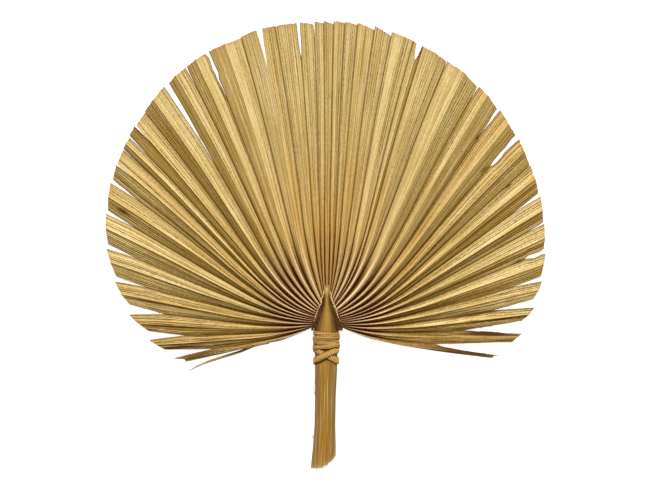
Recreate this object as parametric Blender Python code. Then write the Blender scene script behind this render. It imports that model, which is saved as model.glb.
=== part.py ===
"""A dried fan palm leaf, trimmed round, with a split-leaf lashing wound round its stalk.

The leaf lies on a table with its ribbed underside up: X runs across the blade, +Y from the
stalk towards the top of the blade, +Z up. The origin is the middle of the leaf's outline, on
the table. Sizes are in millimetres, which MM turns into metres. The angle of a fold is in
degrees, clockwise from +Y about RIM_CENTRE, and says where the fold reaches the trimmed rim."""

import math

import bpy
import numpy as np

MM = 0.001
SHARP_ANGLE = 16.0

# Trimmed rim: a nearly round arc about RIM_CENTRE, shorter at the two lowest corners
RIM_CENTRE = (0.2, 5.1)
RIM_RADII = [
    (-132.0, 152.0),
    (-128.0, 157.5),
    (-120.0, 164.5),
    (-110.0, 171.0),
    (-100.0, 175.5),
    (-90.0, 179.6),
    (-75.0, 181.2),
    (-40.0, 180.5),
    (-18.0, 178.0),
    (-4.0, 176.4),
    (12.0, 177.4),
    (28.0, 175.8),
    (60.0, 177.2),
    (80.0, 179.2),
    (100.0, 180.4),
    (112.0, 178.0),
    (120.0, 174.0),
    (126.0, 170.5),
]

# One row a segment, clockwise: its first valley, its midrib, the slit that opens the valley
# from the rim inwards (length, width at the rim), and how far the end of the segment before
# it is cut back
SEGMENTS = [
    (-131.6, -129.8, 0.0, 0.0, 0.0),
    (-126.5, -122.4, 38.0, 11.5, 0.0),
    (-118.9, -114.8, 29.0, 7.4, 0.0),
    (-110.0, -105.6, 29.0, 8.4, 0.0),
    (-101.1, -96.6, 24.5, 4.2, 0.0),
    (-92.2, -87.6, 24.5, 3.8, 0.0),
    (-83.2, -79.4, 25.0, 3.3, 0.0),
    (-75.1, -70.6, 26.0, 3.3, 0.0),
    (-66.2, -64.8, 0.0, 0.0, 0.0),
    (-62.6, -59.3, 21.0, 1.3, 0.0),
    (-55.0, -51.3, 0.0, 0.0, 0.0),
    (-46.0, -42.8, 76.0, 4.7, 0.0),
    (-39.2, -36.2, 15.5, 1.4, 0.0),
    (-32.3, -27.5, 41.0, 2.4, 0.0),
    (-22.7, -17.6, 7.0, 0.5, 1.2),
    (-13.4, -10.2, 0.0, 0.0, 0.0),
    (-7.2, -4.9, 26.0, 1.7, 0.0),
    (-3.0, -1.8, 12.0, 0.8, 0.0),
    (-0.4, 0.9, 7.0, 0.5, 0.9),
    (2.2, 3.7, 7.0, 0.5, 1.4),
    (5.2, 6.9, 7.0, 0.5, 1.4),
    (8.6, 10.9, 7.0, 0.5, 1.8),
    (13.2, 15.5, 7.0, 0.5, 3.0),
    (17.9, 21.4, 7.0, 0.5, 3.2),
    (24.0, 25.5, 0.0, 0.0, 0.0),
    (27.0, 31.0, 0.0, 0.0, 0.0),
    (34.5, 40.4, 0.0, 0.0, 0.0),
    (45.2, 48.9, 11.5, 1.2, 0.0),
    (53.4, 58.2, 25.0, 2.9, 0.0),
    (62.2, 66.6, 32.0, 4.6, 0.0),
    (70.4, 74.4, 0.0, 0.0, 0.0),
    (78.6, 82.9, 24.5, 3.4, 0.0),
    (86.1, 90.1, 14.7, 1.7, 0.0),
    (93.4, 97.0, 17.0, 3.8, 0.0),
    (100.7, 103.9, 23.7, 4.1, 0.0),
    (107.4, 110.6, 33.5, 7.0, 0.0),
    (114.4, 117.8, 47.3, 10.6, 0.0),
    (121.6, 124.5, 57.0, 13.0, 0.0),
]
LAST_EDGE = 125.3
MIDRIB_SLITS = {-70.6: (15.0, 1.0), -59.3: (15.0, 1.5), -17.6: (32.0, 4.6), 25.5: (12.0, 4.6)}

# The folds aim at a point below the hub and bend, near it, on to the root line beside the
# stalk's tip. Root rows: share of the half blade, distance from the stalk's line, y, and the
# fold's direction there in degrees from +Y
STALK_X = 1.6
MID_ANGLE = 0.9
AIM_LEFT = (STALK_X, -75.1)
AIM_RIGHT = (STALK_X + 4.1, -77.5)
AIM_TURN = 1.3
AIM_SHARE = 0.60
BEND_SHARE = 0.22
ROOTS = [
    (0.00, 0.0, -37.0, 0.0),
    (0.02, 2.4, -38.4, 4.0),
    (0.15, 4.9, -48.2, 30.0),
    (0.35, 8.2, -55.1, 58.0),
    (0.55, 10.2, -60.0, 80.0),
    (0.75, 12.2, -64.1, 86.0),
    (0.87, 14.2, -67.0, 94.0),
    (1.00, 17.8, -70.8, 103.0),
]
STATIONS = 15

# The folds' hidden ends: how far they run on towards the stalk's line and down, the share
# of the half blade from which they leave the stalk, and how far the free ones run on
INSET_SHARE = 0.6
INSET_DROP = 1.5
FREE_SHARE = 0.6
FREE_RUN = 0.8

# Pleats: their slope at the rim and at the hub, and the blade's thickness square to them
SLOPE_RIM = 0.42
SLOPE_HUB = 0.80
THICKNESS = 0.7

# The blade's course: its height at the hub and rim, how far the rim lifts away from its low
# angle on either side, and the angle from which a half settles on the table as a whole
HUB_HEIGHT = 6.5
RIM_HEIGHT = 3.6
RIM_LIFT = 5.0
LOW_ANGLE = 62.0
LEVEL_ANGLE = 40.0

# Stalk and costa: y, centre x, half-widths of the ridge and of the base, and the heights of
# the underside, the shoulder and the top
STALK = [
    (-182.9, -1.4, 9.2, 10.2, 0.0, 4.6, 9.4),
    (-164.0, -0.5, 8.4, 9.3, 0.0, 4.6, 9.6),
    (-148.0, -0.1, 7.7, 8.5, 0.4, 5.0, 10.0),
    (-125.0, 0.3, 7.7, 8.5, 1.3, 5.9, 11.0),
    (-104.0, 0.8, 8.1, 9.0, 2.7, 7.2, 12.2),
    (-70.9, 1.1, 8.4, 9.5, 2.7, 7.2, 12.4),
    (-68.8, 1.2, 8.0, 11.7, 2.0, 7.3, 12.2),
    (-64.0, 1.4, 6.8, 11.9, 0.8, 7.4, 11.8),
    (-59.2, 1.6, 5.6, 11.0, 0.0, 7.5, 11.2),
    (-54.0, 1.6, 4.0, 8.8, 0.0, 7.4, 10.4),
    (-49.8, 1.6, 2.6, 6.8, 0.0, 7.3, 9.8),
    (-44.9, 1.6, 2.0, 4.6, 2.2, 7.2, 9.3),
    (-38.4, 1.6, 1.8, 2.9, 4.4, 7.1, 9.0),
    (-21.0, 1.7, 1.2, 1.7, 5.0, 7.0, 8.5),
    (-5.0, 1.9, 0.7, 1.1, 5.6, 6.9, 7.7),
]

# The stalk's outline from the top down: shares of the ridge's half-width and of the height
# from the top to the shoulder, then of the base's half-width and of the height below it
RIDGE_SHAPE = [(0.42, 0.08), (0.78, 0.33), (1.00, 0.75)]
BASE_SHAPE = [(1.00, 0.00), (0.97, 0.45), (0.82, 0.85), (0.60, 1.00)]

# The oblique cut: it rises from its lowest x to the stalk's right edge
CUT_LOW_X = -8.0
CUT_HIGH_X = 8.8
CUT_RISE = 10.0

# The thin strand that has come loose from the blade's lower left edge: where along that edge
# it is rooted, from rim to root, then its own course
STRAND_ROOT = (0.52, 0.42)
STRAND_TIP = [(-70.0, -87.8, 4.6), (-84.9, -93.0, 4.3), (-100.5, -98.2, 4.6), (-111.4, -103.8, 5.4)]
STRAND_WIDTH = 1.5
STRAND_THICK = 0.9
STRAND_POINT = 0.35

# Lashing: its clearance on the stalk, the corners of a strip's section (shares of thickness
# and width), and how far round from the middle one crossing strip rides over the other
LASHING_GAP = 0.42
STRIP_SHAPE = [(0.0, -0.5), (0.0, 0.5), (0.65, 0.5), (1.0, 0.26), (1.0, -0.26), (0.65, -0.5)]
CROSSING_REACH = 0.75

# One row a turn: y of its middle, rise to its right flank, width, thickness, and how much
# thicker it is where it crosses over on the upper side and on the lower side
TURNS = [
    (-74.1, -0.2, 5.0, 1.45, 0.0, 0.0),
    (-78.7, 0.5, 5.5, 1.60, 0.0, 0.0),
    (-83.3, -0.4, 5.3, 1.45, 0.0, 0.0),
    (-90.3, 4.9, 6.3, 1.05, 0.85, 0.0),
    (-90.3, -4.9, 6.3, 1.05, 0.0, 0.75),
]


def clear_scene():
    """Remove whatever the file holds."""
    for item in list(bpy.data.objects):
        bpy.data.objects.remove(item, do_unlink=True)


def material(name, colour, roughness):
    """A plain Principled material."""
    finish = bpy.data.materials.new(name)
    finish.use_nodes = True
    shader = finish.node_tree.nodes["Principled BSDF"]
    shader.inputs["Base Color"].default_value = (*colour, 1.0)
    shader.inputs["Roughness"].default_value = roughness
    shader.inputs["Metallic"].default_value = 0.0
    return finish


def solid(name, points, faces):
    """A mesh object in metres from points in millimetres."""
    mesh = bpy.data.meshes.new(name)
    mesh.from_pydata([tuple(MM * c for c in point) for point in points], [], faces)
    item = bpy.data.objects.new(name, mesh)
    bpy.context.scene.collection.objects.link(item)
    return item


def join(base, others, finish):
    """Fuse overlapping closed solids into one body, with their material."""
    group = bpy.data.collections.new(base.name + "_pieces")
    for item in others:
        group.objects.link(item)
    union = base.modifiers.new("Fuse", "BOOLEAN")
    union.operation = "UNION"
    union.operand_type = "COLLECTION"
    union.collection = group
    union.solver = "EXACT"
    graph = bpy.context.evaluated_depsgraph_get()
    fused = bpy.data.meshes.new_from_object(base.evaluated_get(graph))
    base.modifiers.clear()
    base.data = fused
    fused.name = base.name
    for item in others:
        bpy.data.objects.remove(item, do_unlink=True)
    bpy.data.collections.remove(group)
    fused.materials.clear()
    fused.materials.append(finish)
    fused.shade_smooth()
    fused.set_sharp_from_angle(angle=math.radians(SHARP_ANGLE))
    return base


def rim_point(angle):
    """Where a fold of this angle meets the trimmed rim."""
    angles, radii = zip(*RIM_RADII)
    radius = np.interp(angle, angles, radii)
    turn = math.radians(angle)
    return np.array(RIM_CENTRE) + radius * np.array([math.sin(turn), math.cos(turn)])


def half_share(angle):
    """How far out in its half of the blade a fold lies, from 0 at the middle to 1 at the edge."""
    reach = MID_ANGLE - SEGMENTS[0][0] if angle < MID_ANGLE else LAST_EDGE - MID_ANGLE
    return abs(angle - MID_ANGLE) / reach


def root_of(angle):
    """A fold's root point and its outward direction there."""
    side = -1.0 if angle < MID_ANGLE else 1.0
    share = half_share(angle)
    shares, outs, heights, turns = zip(*ROOTS)
    turn = math.radians(np.interp(share, shares, turns))
    root = np.array([STALK_X + side * np.interp(share, shares, outs), np.interp(share, shares, heights)])
    return root, np.array([side * math.sin(turn), math.cos(turn)])


def fold_points(angle, steps):
    """Points of one fold in plan, at these steps from 0 at the rim to 1 at the root."""
    rim = rim_point(angle)
    root, direction = root_of(angle)
    lean = math.sin(math.radians(min(90.0, AIM_TURN * max(0.0, angle))))
    aim = (1.0 - lean) * np.array(AIM_LEFT) + lean * np.array(AIM_RIGHT)
    length = np.linalg.norm(rim - root)
    near = rim + AIM_SHARE * (aim - rim)
    far = root + BEND_SHARE * length * direction
    step = np.asarray(steps)[:, None]
    rest = 1.0 - step
    return rest**3 * rim + 3 * rest**2 * step * near + 3 * rest * step**2 * far + step**3 * root


def root_inset(angle):
    """The hidden end of a fold, sunk into the stalk or, at the lowest folds, just past the root."""
    root, direction = root_of(angle)
    inward = np.array([(STALK_X - root[0]) * INSET_SHARE, -INSET_DROP])
    free = max(0.0, (half_share(angle) - FREE_SHARE) / (1.0 - FREE_SHARE))
    return root + (1.0 - free) * inward - free * FREE_RUN * direction


def folds():
    """Every fold, left to right: angle, +1 on a midrib or -1 in a valley, slit length, width and step."""
    rows = []
    for valley, midrib, depth, width, step in SEGMENTS:
        rows.append((valley, -1.0, depth, width, step))
        rows.append((midrib, 1.0, *MIDRIB_SLITS.get(midrib, (0.0, 0.0)), 0.0))
    rows.append((LAST_EDGE, -1.0, 0.0, 0.0, 0.0))
    return rows


def slit_steps(angle, depth):
    """Steps along a fold, moved so that one of them falls on the slit's inner end."""
    steps = np.linspace(0.0, 1.0, STATIONS + 1)
    if depth == 0.0:
        return steps, 0
    fine = np.linspace(0.0, 1.0, 201)
    path = fold_points(angle, fine)
    run = np.concatenate([[0.0], np.cumsum(np.linalg.norm(np.diff(path, axis=0), axis=1))])
    tip = np.interp(depth, run, fine)
    last = max(1, int(round(tip * STATIONS)))
    inner = 1.0 - (1.0 - steps) * (1.0 - tip) / (1.0 - steps[last])
    return np.where(steps <= steps[last], steps * tip / steps[last], inner), last


def blade_grid():
    """The blade's mid surface: plan points of both sides of each fold, heights, thickness.

    Side 0 of a fold ends the segment before it and side 1 starts the one after it. They part
    from the rim to the end of a slit. Steps run along each fold from the rim to its hidden end."""
    rows = folds()
    count = STATIONS + 2
    plan = np.zeros((len(rows), 2, count, 2))
    middle = np.zeros((len(rows), count, 2))
    square = np.zeros((len(rows), count, 2))
    inward = np.ones((len(rows), count))
    inner_ends = np.zeros(len(rows), dtype=int)
    for j, (angle, side, depth, width, step) in enumerate(rows):
        steps, last = slit_steps(angle, depth)
        points = np.vstack([fold_points(angle, steps), root_inset(angle)])
        along = np.gradient(points, axis=0)
        along /= np.linalg.norm(along, axis=1)[:, None]
        across = np.stack([along[:, 1], -along[:, 0]], axis=1)
        opening = np.clip(1.0 - np.arange(count) / last, 0.0, 1.0) if last else np.zeros(count)
        middle[j] = points
        square[j] = across
        inward[j, :-1] = steps
        inner_ends[j] = last
        plan[j, 0] = points + across * (0.5 * width * opening)[:, None]
        plan[j, 1] = points - across * (0.5 * width * opening)[:, None]
        plan[j, 0, 0] += step * along[0]
    gaps = np.abs(np.sum(np.diff(middle, axis=0) * 0.5 * (square[1:] + square[:-1]), axis=2))
    pitch = 0.5 * (np.vstack([gaps[:1], gaps]) + np.vstack([gaps, gaps[-1:]]))
    slope = SLOPE_RIM + (SLOPE_HUB - SLOPE_RIM) * inward
    signs = np.array([row[1] for row in rows])[:, None]
    angles = np.array([row[0] for row in rows])[:, None]
    lift = RIM_LIFT * 0.5 * (1.0 - np.cos(np.radians(2.0 * (np.abs(angles) - LOW_ANGLE))))
    outward = 1.0 - inward
    height = HUB_HEIGHT + (RIM_HEIGHT + lift - HUB_HEIGHT) * outward + signs * 0.5 * slope * pitch
    height[:, -1] = HUB_HEIGHT
    thick = np.broadcast_to(THICKNESS * np.sqrt(1.0 + slope**2), height.shape)
    bottom = height - 0.5 * thick
    # Each half comes down until its lowest valley end just touches the table
    share = np.minimum(1.0, np.abs(angles) / LEVEL_ANGLE) * outward
    for half in (angles[:, 0] < MID_ANGLE, angles[:, 0] > MID_ANGLE):
        rim_drops = bottom[half, 0] / share[half, 0]
        height[half] -= rim_drops.min() * share[half]
    return plan, height, thick, inner_ends


def blade(grid):
    """The blade as one closed solid, its two faces split into triangles alike."""
    plan, height, thick, inner_ends = grid
    count = plan.shape[2]
    index = np.zeros(plan.shape[:3], dtype=int)
    top = []
    bottom = []
    for j in range(plan.shape[0]):
        for k in range(count):
            for side in (0, 1):
                if side == 1 and k >= inner_ends[j]:
                    index[j, 1, k] = index[j, 0, k]
                    continue
                index[j, side, k] = len(top)
                x, y = plan[j, side, k]
                top.append((x, y, height[j, k] + 0.5 * thick[j, k]))
                bottom.append((x, y, height[j, k] - 0.5 * thick[j, k]))
    upper = []
    for j in range(plan.shape[0] - 1):
        left, right = index[j, 1], index[j + 1, 0]
        for k in range(count - 1):
            upper.append((left[k], left[k + 1], right[k]))
            upper.append((left[k + 1], right[k + 1], right[k]))
    shift = len(top)
    lower = [(c + shift, b + shift, a + shift) for a, b, c in upper]
    edges = {(a, b) for face in upper for a, b in zip(face, face[1:] + face[:1])}
    walls = [(b, a, a + shift, b + shift) for a, b in sorted(edges) if (b, a) not in edges]
    faces = [tuple(int(i) for i in face) for face in upper + lower + walls]
    return solid("palm_leaf", top + bottom, faces)


def stalk_values(y):
    """The stalk's centre, half-widths and heights at this y."""
    rows = np.array(STALK)
    return [np.interp(y, rows[:, 0], rows[:, i]) for i in range(1, rows.shape[1])]


def stalk_section(y):
    """The stalk's outline at this y, as (x, z) points counter-clockwise from the top."""
    centre, ridge, base, low, shoulder, high = stalk_values(y)
    rise, fall = high - shoulder, shoulder - low
    half = [(out * ridge, high - down * rise) for out, down in RIDGE_SHAPE]
    half += [(out * base, shoulder - down * fall) for out, down in BASE_SHAPE]
    left = [(centre - x, z) for x, z in half]
    right = [(centre + x, z) for x, z in reversed(half)]
    return [(centre, high)] + left + right


def cut_y(x):
    """The oblique, slightly hollow cut at the end of the stalk."""
    return STALK[0][0] + CUT_RISE * ((x - CUT_LOW_X) / (CUT_HIGH_X - CUT_LOW_X)) ** 2


def loft(name, rings):
    """A closed solid through rings of equally many points, with fans over both ends."""
    size = len(rings[0])
    points = [point for ring in rings for point in ring]
    faces = []
    for r in range(len(rings) - 1):
        for i in range(size):
            a, b = r * size + i, r * size + (i + 1) % size
            faces.append((a, b, b + size, a + size))
    for ring, start, flip in ((rings[0], 0, True), (rings[-1], len(points) - size, False)):
        hub = len(points)
        points.append(tuple(np.mean(ring, axis=0)))
        for i in range(size):
            a, b = start + i, start + (i + 1) % size
            faces.append((hub, b, a) if flip else (hub, a, b))
    return solid(name, points, faces)


def stalk():
    """The stalk, its tip on the blade and the costa that runs out along the middle segment."""
    rings = []
    for row in STALK:
        section = stalk_section(row[0])
        flat = [(x, row[0] if row[0] > STALK[0][0] else cut_y(x), z) for x, z in section]
        rings.append(flat)
    return loft("stalk", rings)


def strand(name, path):
    """A thin strand along a path, pointed at its end."""
    path = np.array(path)
    along = np.gradient(path[:, :2], axis=0)
    along /= np.linalg.norm(along, axis=1)[:, None]
    rings = []
    for i, (x, y, z) in enumerate(path):
        size = STRAND_POINT if i == len(path) - 1 else 1.0
        side = 0.5 * STRAND_WIDTH * size * np.array([-along[i, 1], along[i, 0]])
        up = 0.5 * STRAND_THICK * size
        rings.append([
            (x + side[0], y + side[1], z),
            (x, y, z + up),
            (x - side[0], y - side[1], z),
            (x, y, z - up),
        ])
    return loft(name, rings)


def edge_point(grid, share):
    """A point on the blade's left edge, at this share of the way from rim to root."""
    plan, height = grid[:2]
    k = int(round(share * STATIONS))
    return (*plan[0, 1, k], height[0, k])


def outward_at(outline, i, share):
    """A point on a closed outline, and the offset there that moves all its edges out alike."""
    after = outline[(i + 1) % len(outline)] - outline[i]
    before = outline[i] - outline[i - 1] if share == 0.0 else after
    first, second = [np.array([d[1], -d[0]]) / np.linalg.norm(d) for d in (before, after)]
    return outline[i] + share * after, (first + second) / (1.0 + first @ second)


def lashing_turn(name, turn):
    """One turn of the lashing: a flat strip that follows the stalk's outline."""
    middle, rise, width, thick, over_front, over_back = turn
    centre, ridge, base, low, shoulder, high = stalk_values(middle)
    section = np.array(stalk_section(middle))
    rings = []
    for i in range(len(section)):
        for share in (0.0, 0.5):
            x = section[i, 0] + share * (section[(i + 1) % len(section), 0] - section[i, 0])
            y = middle + rise * (x - centre) / base
            point, out = outward_at(np.array(stalk_section(y)), i, share)
            near_middle = max(0.0, 1.0 - (abs(x - centre) / (CROSSING_REACH * base)) ** 2)
            over = over_front if point[1] > shoulder else over_back
            height = thick + over * near_middle
            ring = []
            for up, across in STRIP_SHAPE:
                spot = point + out * (LASHING_GAP + up * height)
                ring.append((spot[0], y + across * width, spot[1]))
            rings.append(ring)
    corners = len(STRIP_SHAPE)
    faces = []
    for r in range(len(rings)):
        here, there = r * corners, (r + 1) % len(rings) * corners
        for i in range(corners):
            j = (i + 1) % corners
            faces.append((here + i, there + i, there + j, here + j))
    return solid(name, [point for ring in rings for point in ring], faces)


def build():
    """Model the leaf and its lashing."""
    clear_scene()
    straw = material("dry_leaf", (0.58, 0.42, 0.20), 0.62)
    strip = material("lashing_strip", (0.52, 0.35, 0.15), 0.70)
    grid = blade_grid()
    loose = [edge_point(grid, share) for share in STRAND_ROOT] + STRAND_TIP
    join(blade(grid), [stalk(), strand("loose_strand", loose)], straw)
    turns = [lashing_turn("turn_%d" % i, turn) for i, turn in enumerate(TURNS)]
    turns[0].name = "lashing"
    join(turns[0], turns[1:], strip)


build()
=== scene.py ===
"""A dried fan palm leaf with a split-leaf lashing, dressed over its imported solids.

The leaf lies on a table with its ribbed underside up. Shapes are worked out in millimetres, in
the solids' own frame, and turned into metres where a mesh is made. Angles of folds are in
degrees, clockwise from +Y about the middle of the trimmed rim."""

import math

import bpy
import numpy as np
from mathutils import Matrix, Vector


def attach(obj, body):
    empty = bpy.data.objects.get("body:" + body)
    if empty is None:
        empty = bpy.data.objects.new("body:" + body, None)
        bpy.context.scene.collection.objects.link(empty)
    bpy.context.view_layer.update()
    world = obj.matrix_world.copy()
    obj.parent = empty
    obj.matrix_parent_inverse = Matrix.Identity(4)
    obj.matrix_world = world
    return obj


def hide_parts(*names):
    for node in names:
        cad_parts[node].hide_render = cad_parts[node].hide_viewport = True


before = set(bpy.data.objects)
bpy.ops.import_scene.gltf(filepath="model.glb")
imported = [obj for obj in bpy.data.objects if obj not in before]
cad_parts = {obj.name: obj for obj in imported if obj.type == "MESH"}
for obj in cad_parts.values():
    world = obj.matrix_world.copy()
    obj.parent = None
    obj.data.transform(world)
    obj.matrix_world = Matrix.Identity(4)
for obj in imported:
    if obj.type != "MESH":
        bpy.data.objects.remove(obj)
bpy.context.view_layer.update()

bl_info = {
    "name": "Dried Fan Palm Leaf",
    "version": (1, 0, 0),
    "blender": (4, 5, 0),
    "location": "View3D > Sidebar > Palm Leaf",
    "description": "Builds the pleated blade, stalk, strands and lashing of a dried fan palm leaf",
    "category": "Add Mesh",
}

MM = 0.001

# Trimmed rim: a nearly round arc, shorter at the two lowest corners (angle, radius)
RIM_CENTRE = (0.2, 5.1)
RIM_RADII = [
    (-132.0, 152.0), (-129.5, 155.5), (-126.2, 161.8), (-120.0, 164.5), (-110.0, 171.0),
    (-100.0, 175.5), (-90.0, 179.6), (-75.0, 181.2), (-40.0, 180.9), (-18.0, 178.5),
    (-4.0, 177.1), (12.0, 178.1), (28.0, 176.4), (60.0, 177.4), (80.0, 179.2), (100.0, 180.4),
    (112.0, 178.0), (120.0, 174.0), (126.0, 170.5),
]

# One row a segment, clockwise: its first valley, its midrib, the slit that opens the valley
# (length, width at the rim), and how far the end of the segment before it is cut back
SEGMENTS = [
    (-131.6, -130.2, 0.0, 0.0, 0.0),
    (-126.2, -122.4, 38.0, 8.4, 6.2),
    (-118.9, -114.8, 29.0, 7.4, 0.0),
    (-110.0, -105.6, 29.0, 8.4, 0.0),
    (-101.1, -96.6, 24.5, 4.2, 0.0),
    (-92.2, -87.6, 24.5, 3.8, 0.0),
    (-83.2, -79.4, 25.0, 3.3, 0.0),
    (-75.1, -70.6, 26.0, 3.3, 0.0),
    (-66.2, -64.8, 19.0, 0.5, 0.7),
    (-62.6, -59.3, 21.0, 1.3, 0.9),
    (-55.0, -51.3, 6.0, 0.3, 0.9),
    (-46.0, -42.8, 76.0, 4.7, 0.0),
    (-39.2, -36.2, 15.5, 1.4, 0.0),
    (-32.3, -27.5, 41.0, 2.9, 0.0),
    (-22.7, -17.6, 7.0, 0.0, 1.2),
    (-13.4, -10.2, 4.0, 0.0, -0.8),
    (-7.2, -4.9, 27.0, 2.5, 0.0),
    (-3.0, -1.8, 12.0, 0.9, 2.3),
    (-0.4, 0.9, 9.0, 0.0, 1.5),
    (2.2, 3.7, 9.0, 0.0, 2.5),
    (5.2, 6.9, 9.0, 0.0, 1.2),
    (8.6, 10.9, 9.0, 0.0, 1.6),
    (13.2, 15.5, 9.0, 0.0, 3.2),
    (17.9, 21.4, 9.0, 0.0, 3.4),
    (24.2, 26.0, 0.0, 0.0, 0.0),
    (27.0, 31.0, 0.0, 0.0, 0.0),
    (34.5, 40.4, 6.0, 0.7, 0.9),
    (45.2, 48.9, 11.5, 1.2, 0.6),
    (53.4, 58.2, 25.0, 2.9, 0.0),
    (62.2, 66.6, 32.0, 4.6, 0.0),
    (70.4, 74.4, 4.0, 0.3, 0.5),
    (78.6, 82.9, 24.5, 3.4, 0.0),
    (86.1, 90.1, 14.7, 1.7, 0.0),
    (93.4, 97.0, 17.0, 4.4, 0.0),
    (100.7, 103.9, 23.7, 4.1, 0.0),
    (107.4, 110.6, 33.5, 7.0, 0.0),
    (114.4, 117.8, 47.3, 10.6, 0.0),
    (121.6, 124.5, 57.0, 11.2, -5.0),
]
LAST_EDGE = 125.3
MIDRIB_SLITS = {-70.6: (15.0, 1.0), -59.3: (15.0, 1.5), -17.6: (32.0, 4.6), 26.0: (12.0, 4.6)}

# Slits that don't taper evenly (share of the length, share of the width), and torn ones with
# how rough their edges are
SLIT_SHAPES = {
    -46.0: [(0.0, 1.0), (0.4, 0.62), (0.64, 0.26), (0.68, 0.12), (0.74, 0.2), (1.0, 0.0)],
    -32.3: [(0.0, 1.0), (0.3, 0.7), (0.42, 0.9), (0.5, 0.35), (0.75, 0.5), (1.0, 0.0)],
    -7.2: [(0.0, 1.0), (0.55, 0.72), (0.9, 0.5), (1.0, 0.0)],
    26.0: [(0.0, 1.0), (0.7, 0.66), (0.93, 0.55), (1.0, 0.0)],
    62.2: [(0.0, 1.0), (0.5, 0.62), (0.76, 0.42), (0.84, 0.62), (0.96, 0.5), (1.0, 0.0)],
    93.4: [(0.0, 1.0), (0.35, 0.55), (0.5, 0.95), (0.8, 0.6), (1.0, 0.0)],
}
ONE_SIDED_SLITS = {121.6: 1.25}
ROUGH_SLITS = {-32.3: 0.9, -59.3: 0.4, 26.0: 0.35, 53.4: 0.3, 62.2: 0.6, 93.4: 0.7, 114.4: 0.3}

# Dark scars: x, y, half their length along the fibres, half their width, how dark
BRUISES = [
    (-164.9, 26.5, 7.0, 2.2, 0.75), (-82.4, 120.8, 4.0, 1.5, 0.8), (-85.5, 127.0, 3.0, 1.2, 0.6),
    (124.9, 87.3, 3.2, 1.4, 0.95), (130.5, 61.0, 4.0, 1.6, 0.7), (149.6, 47.0, 3.4, 1.5, 0.95),
    (158.0, -14.5, 6.0, 1.8, 0.7), (137.0, -72.6, 32.0, 3.6, 1.0), (112.0, -69.0, 14.0, 1.6, 0.6),
    (118.0, -87.5, 46.0, 4.8, 0.85), (-107.0, -90.0, 26.0, 4.4, 0.8),
    (-120.0, -84.5, 24.0, 1.6, 0.9), (-121.0, -67.6, 46.0, 1.2, 1.0),
    (-146.0, -73.5, 12.0, 1.6, 0.7), (-128.0, -50.0, 52.0, 1.1, 0.9),
    (-143.0, -70.0, 8.0, 1.5, 0.5), (128.0, -56.5, 40.0, 1.1, 0.9),
    (140.0, -62.0, 22.0, 1.0, 0.7), (-51.2, 135.0, 2.2, 1.0, 0.6), (46.0, 149.0, 2.5, 1.0, 0.5),
    (4.0, 120.0, 2.2, 0.9, 0.5), (-19.6, 151.8, 1.8, 0.9, 0.9), (-86.6, 133.4, 3.4, 1.0, 0.7),
    (-96.0, 118.0, 1.6, 0.8, 0.5),
]

# Strips twisted about their length, so that their far side is the lit one
TWISTED_PANELS = (114.4, 117.8)
TWISTED_RIB = 117.8

# The folds aim at a point below the hub and bend on to the root line beside the stalk's tip.
# Root rows: share of the half blade, distance from the stalk's line, y, direction from +Y
STALK_X = 1.6
MID_ANGLE = 0.9
AIM_LEFT = (STALK_X, -75.1)
AIM_RIGHT = (STALK_X + 4.1, -77.5)
AIM_TURN = 1.3
AIM_SHARE = 0.60
BEND_SHARE = 0.22
ROOTS = [
    (0.00, 0.0, -37.0, 0.0), (0.02, 2.4, -38.4, 4.0), (0.15, 4.9, -48.2, 30.0),
    (0.35, 7.9, -55.1, 58.0), (0.55, 9.5, -60.0, 80.0), (0.75, 10.8, -64.1, 86.0),
    (0.87, 11.5, -66.2, 98.0), (1.00, 12.6, -68.4, 115.0),
]
MIDRIB_PULL = 0.45
INSET_SHARE = 0.6
INSET_DROP = 1.5
FREE_SHARE = 0.6
FREE_RUN = 0.8
HUB_HEIGHT = 6.5
RIM_HEIGHT = 3.6
RIM_LIFT = 5.0
LOW_ANGLE = 62.0
FLAT_TOP = 0.66
LEVEL_ANGLE = 40.0
FOLD_SWAY = 0.35
SLIT_CURL = 0.75
STEP_REACH = 9.0

# The blade is made in parts that meet at slit valleys, each with a fine grid of its own
ALONG = 92
VEIN_COLUMNS = 4
FURROW_HALF = 0.64
FOLD_HALF = 0.85
LIT_SIDE = (0.0, 1.0)
BLADE_PARTS = [
    ("blade_left_lower", -131.6, -75.1),
    ("blade_left_upper", -75.1, -3.0),
    ("blade_right_upper", -3.0, 62.2),
    ("blade_right_lower", 62.2, LAST_EDGE),
]

# Stalk and costa: y, centre x, half-widths of the ridge and of the base, and the heights of
# the underside, the shoulder and the top
STALK = [
    (-182.9, -1.4, 9.2, 10.2, 0.0, 4.6, 9.4),
    (-164.0, -0.5, 8.4, 9.3, 0.0, 4.6, 9.6),
    (-148.0, -0.1, 7.7, 8.5, 0.4, 5.0, 10.0),
    (-125.0, 0.3, 7.7, 8.5, 1.3, 5.9, 11.0),
    (-104.0, 0.8, 8.1, 9.0, 2.7, 7.2, 12.2),
    (-70.9, 1.1, 8.4, 9.5, 2.7, 7.2, 12.4),
    (-68.8, 1.2, 8.0, 11.7, 2.0, 7.3, 12.2),
    (-64.0, 1.4, 6.8, 11.9, 0.8, 7.4, 11.8),
    (-59.2, 1.6, 5.6, 11.0, 0.0, 7.5, 11.2),
    (-54.0, 1.6, 4.0, 8.8, 0.0, 7.4, 10.4),
    (-49.8, 1.6, 2.6, 6.8, 0.0, 7.3, 9.8),
    (-44.9, 1.6, 2.3, 4.6, 2.2, 7.2, 9.5),
    (-39.5, 1.6, 2.0, 2.8, 4.2, 6.8, 9.0),
    (-36.0, 1.6, 1.5, 2.2, 4.3, 6.2, 7.4),
    (-30.0, 1.6, 1.1, 2.0, 4.4, 5.6, 6.4),
    (-21.0, 1.7, 0.9, 1.6, 4.4, 5.6, 6.2),
    (-5.0, 1.9, 0.7, 1.1, 4.4, 5.2, 5.8),
]
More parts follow.
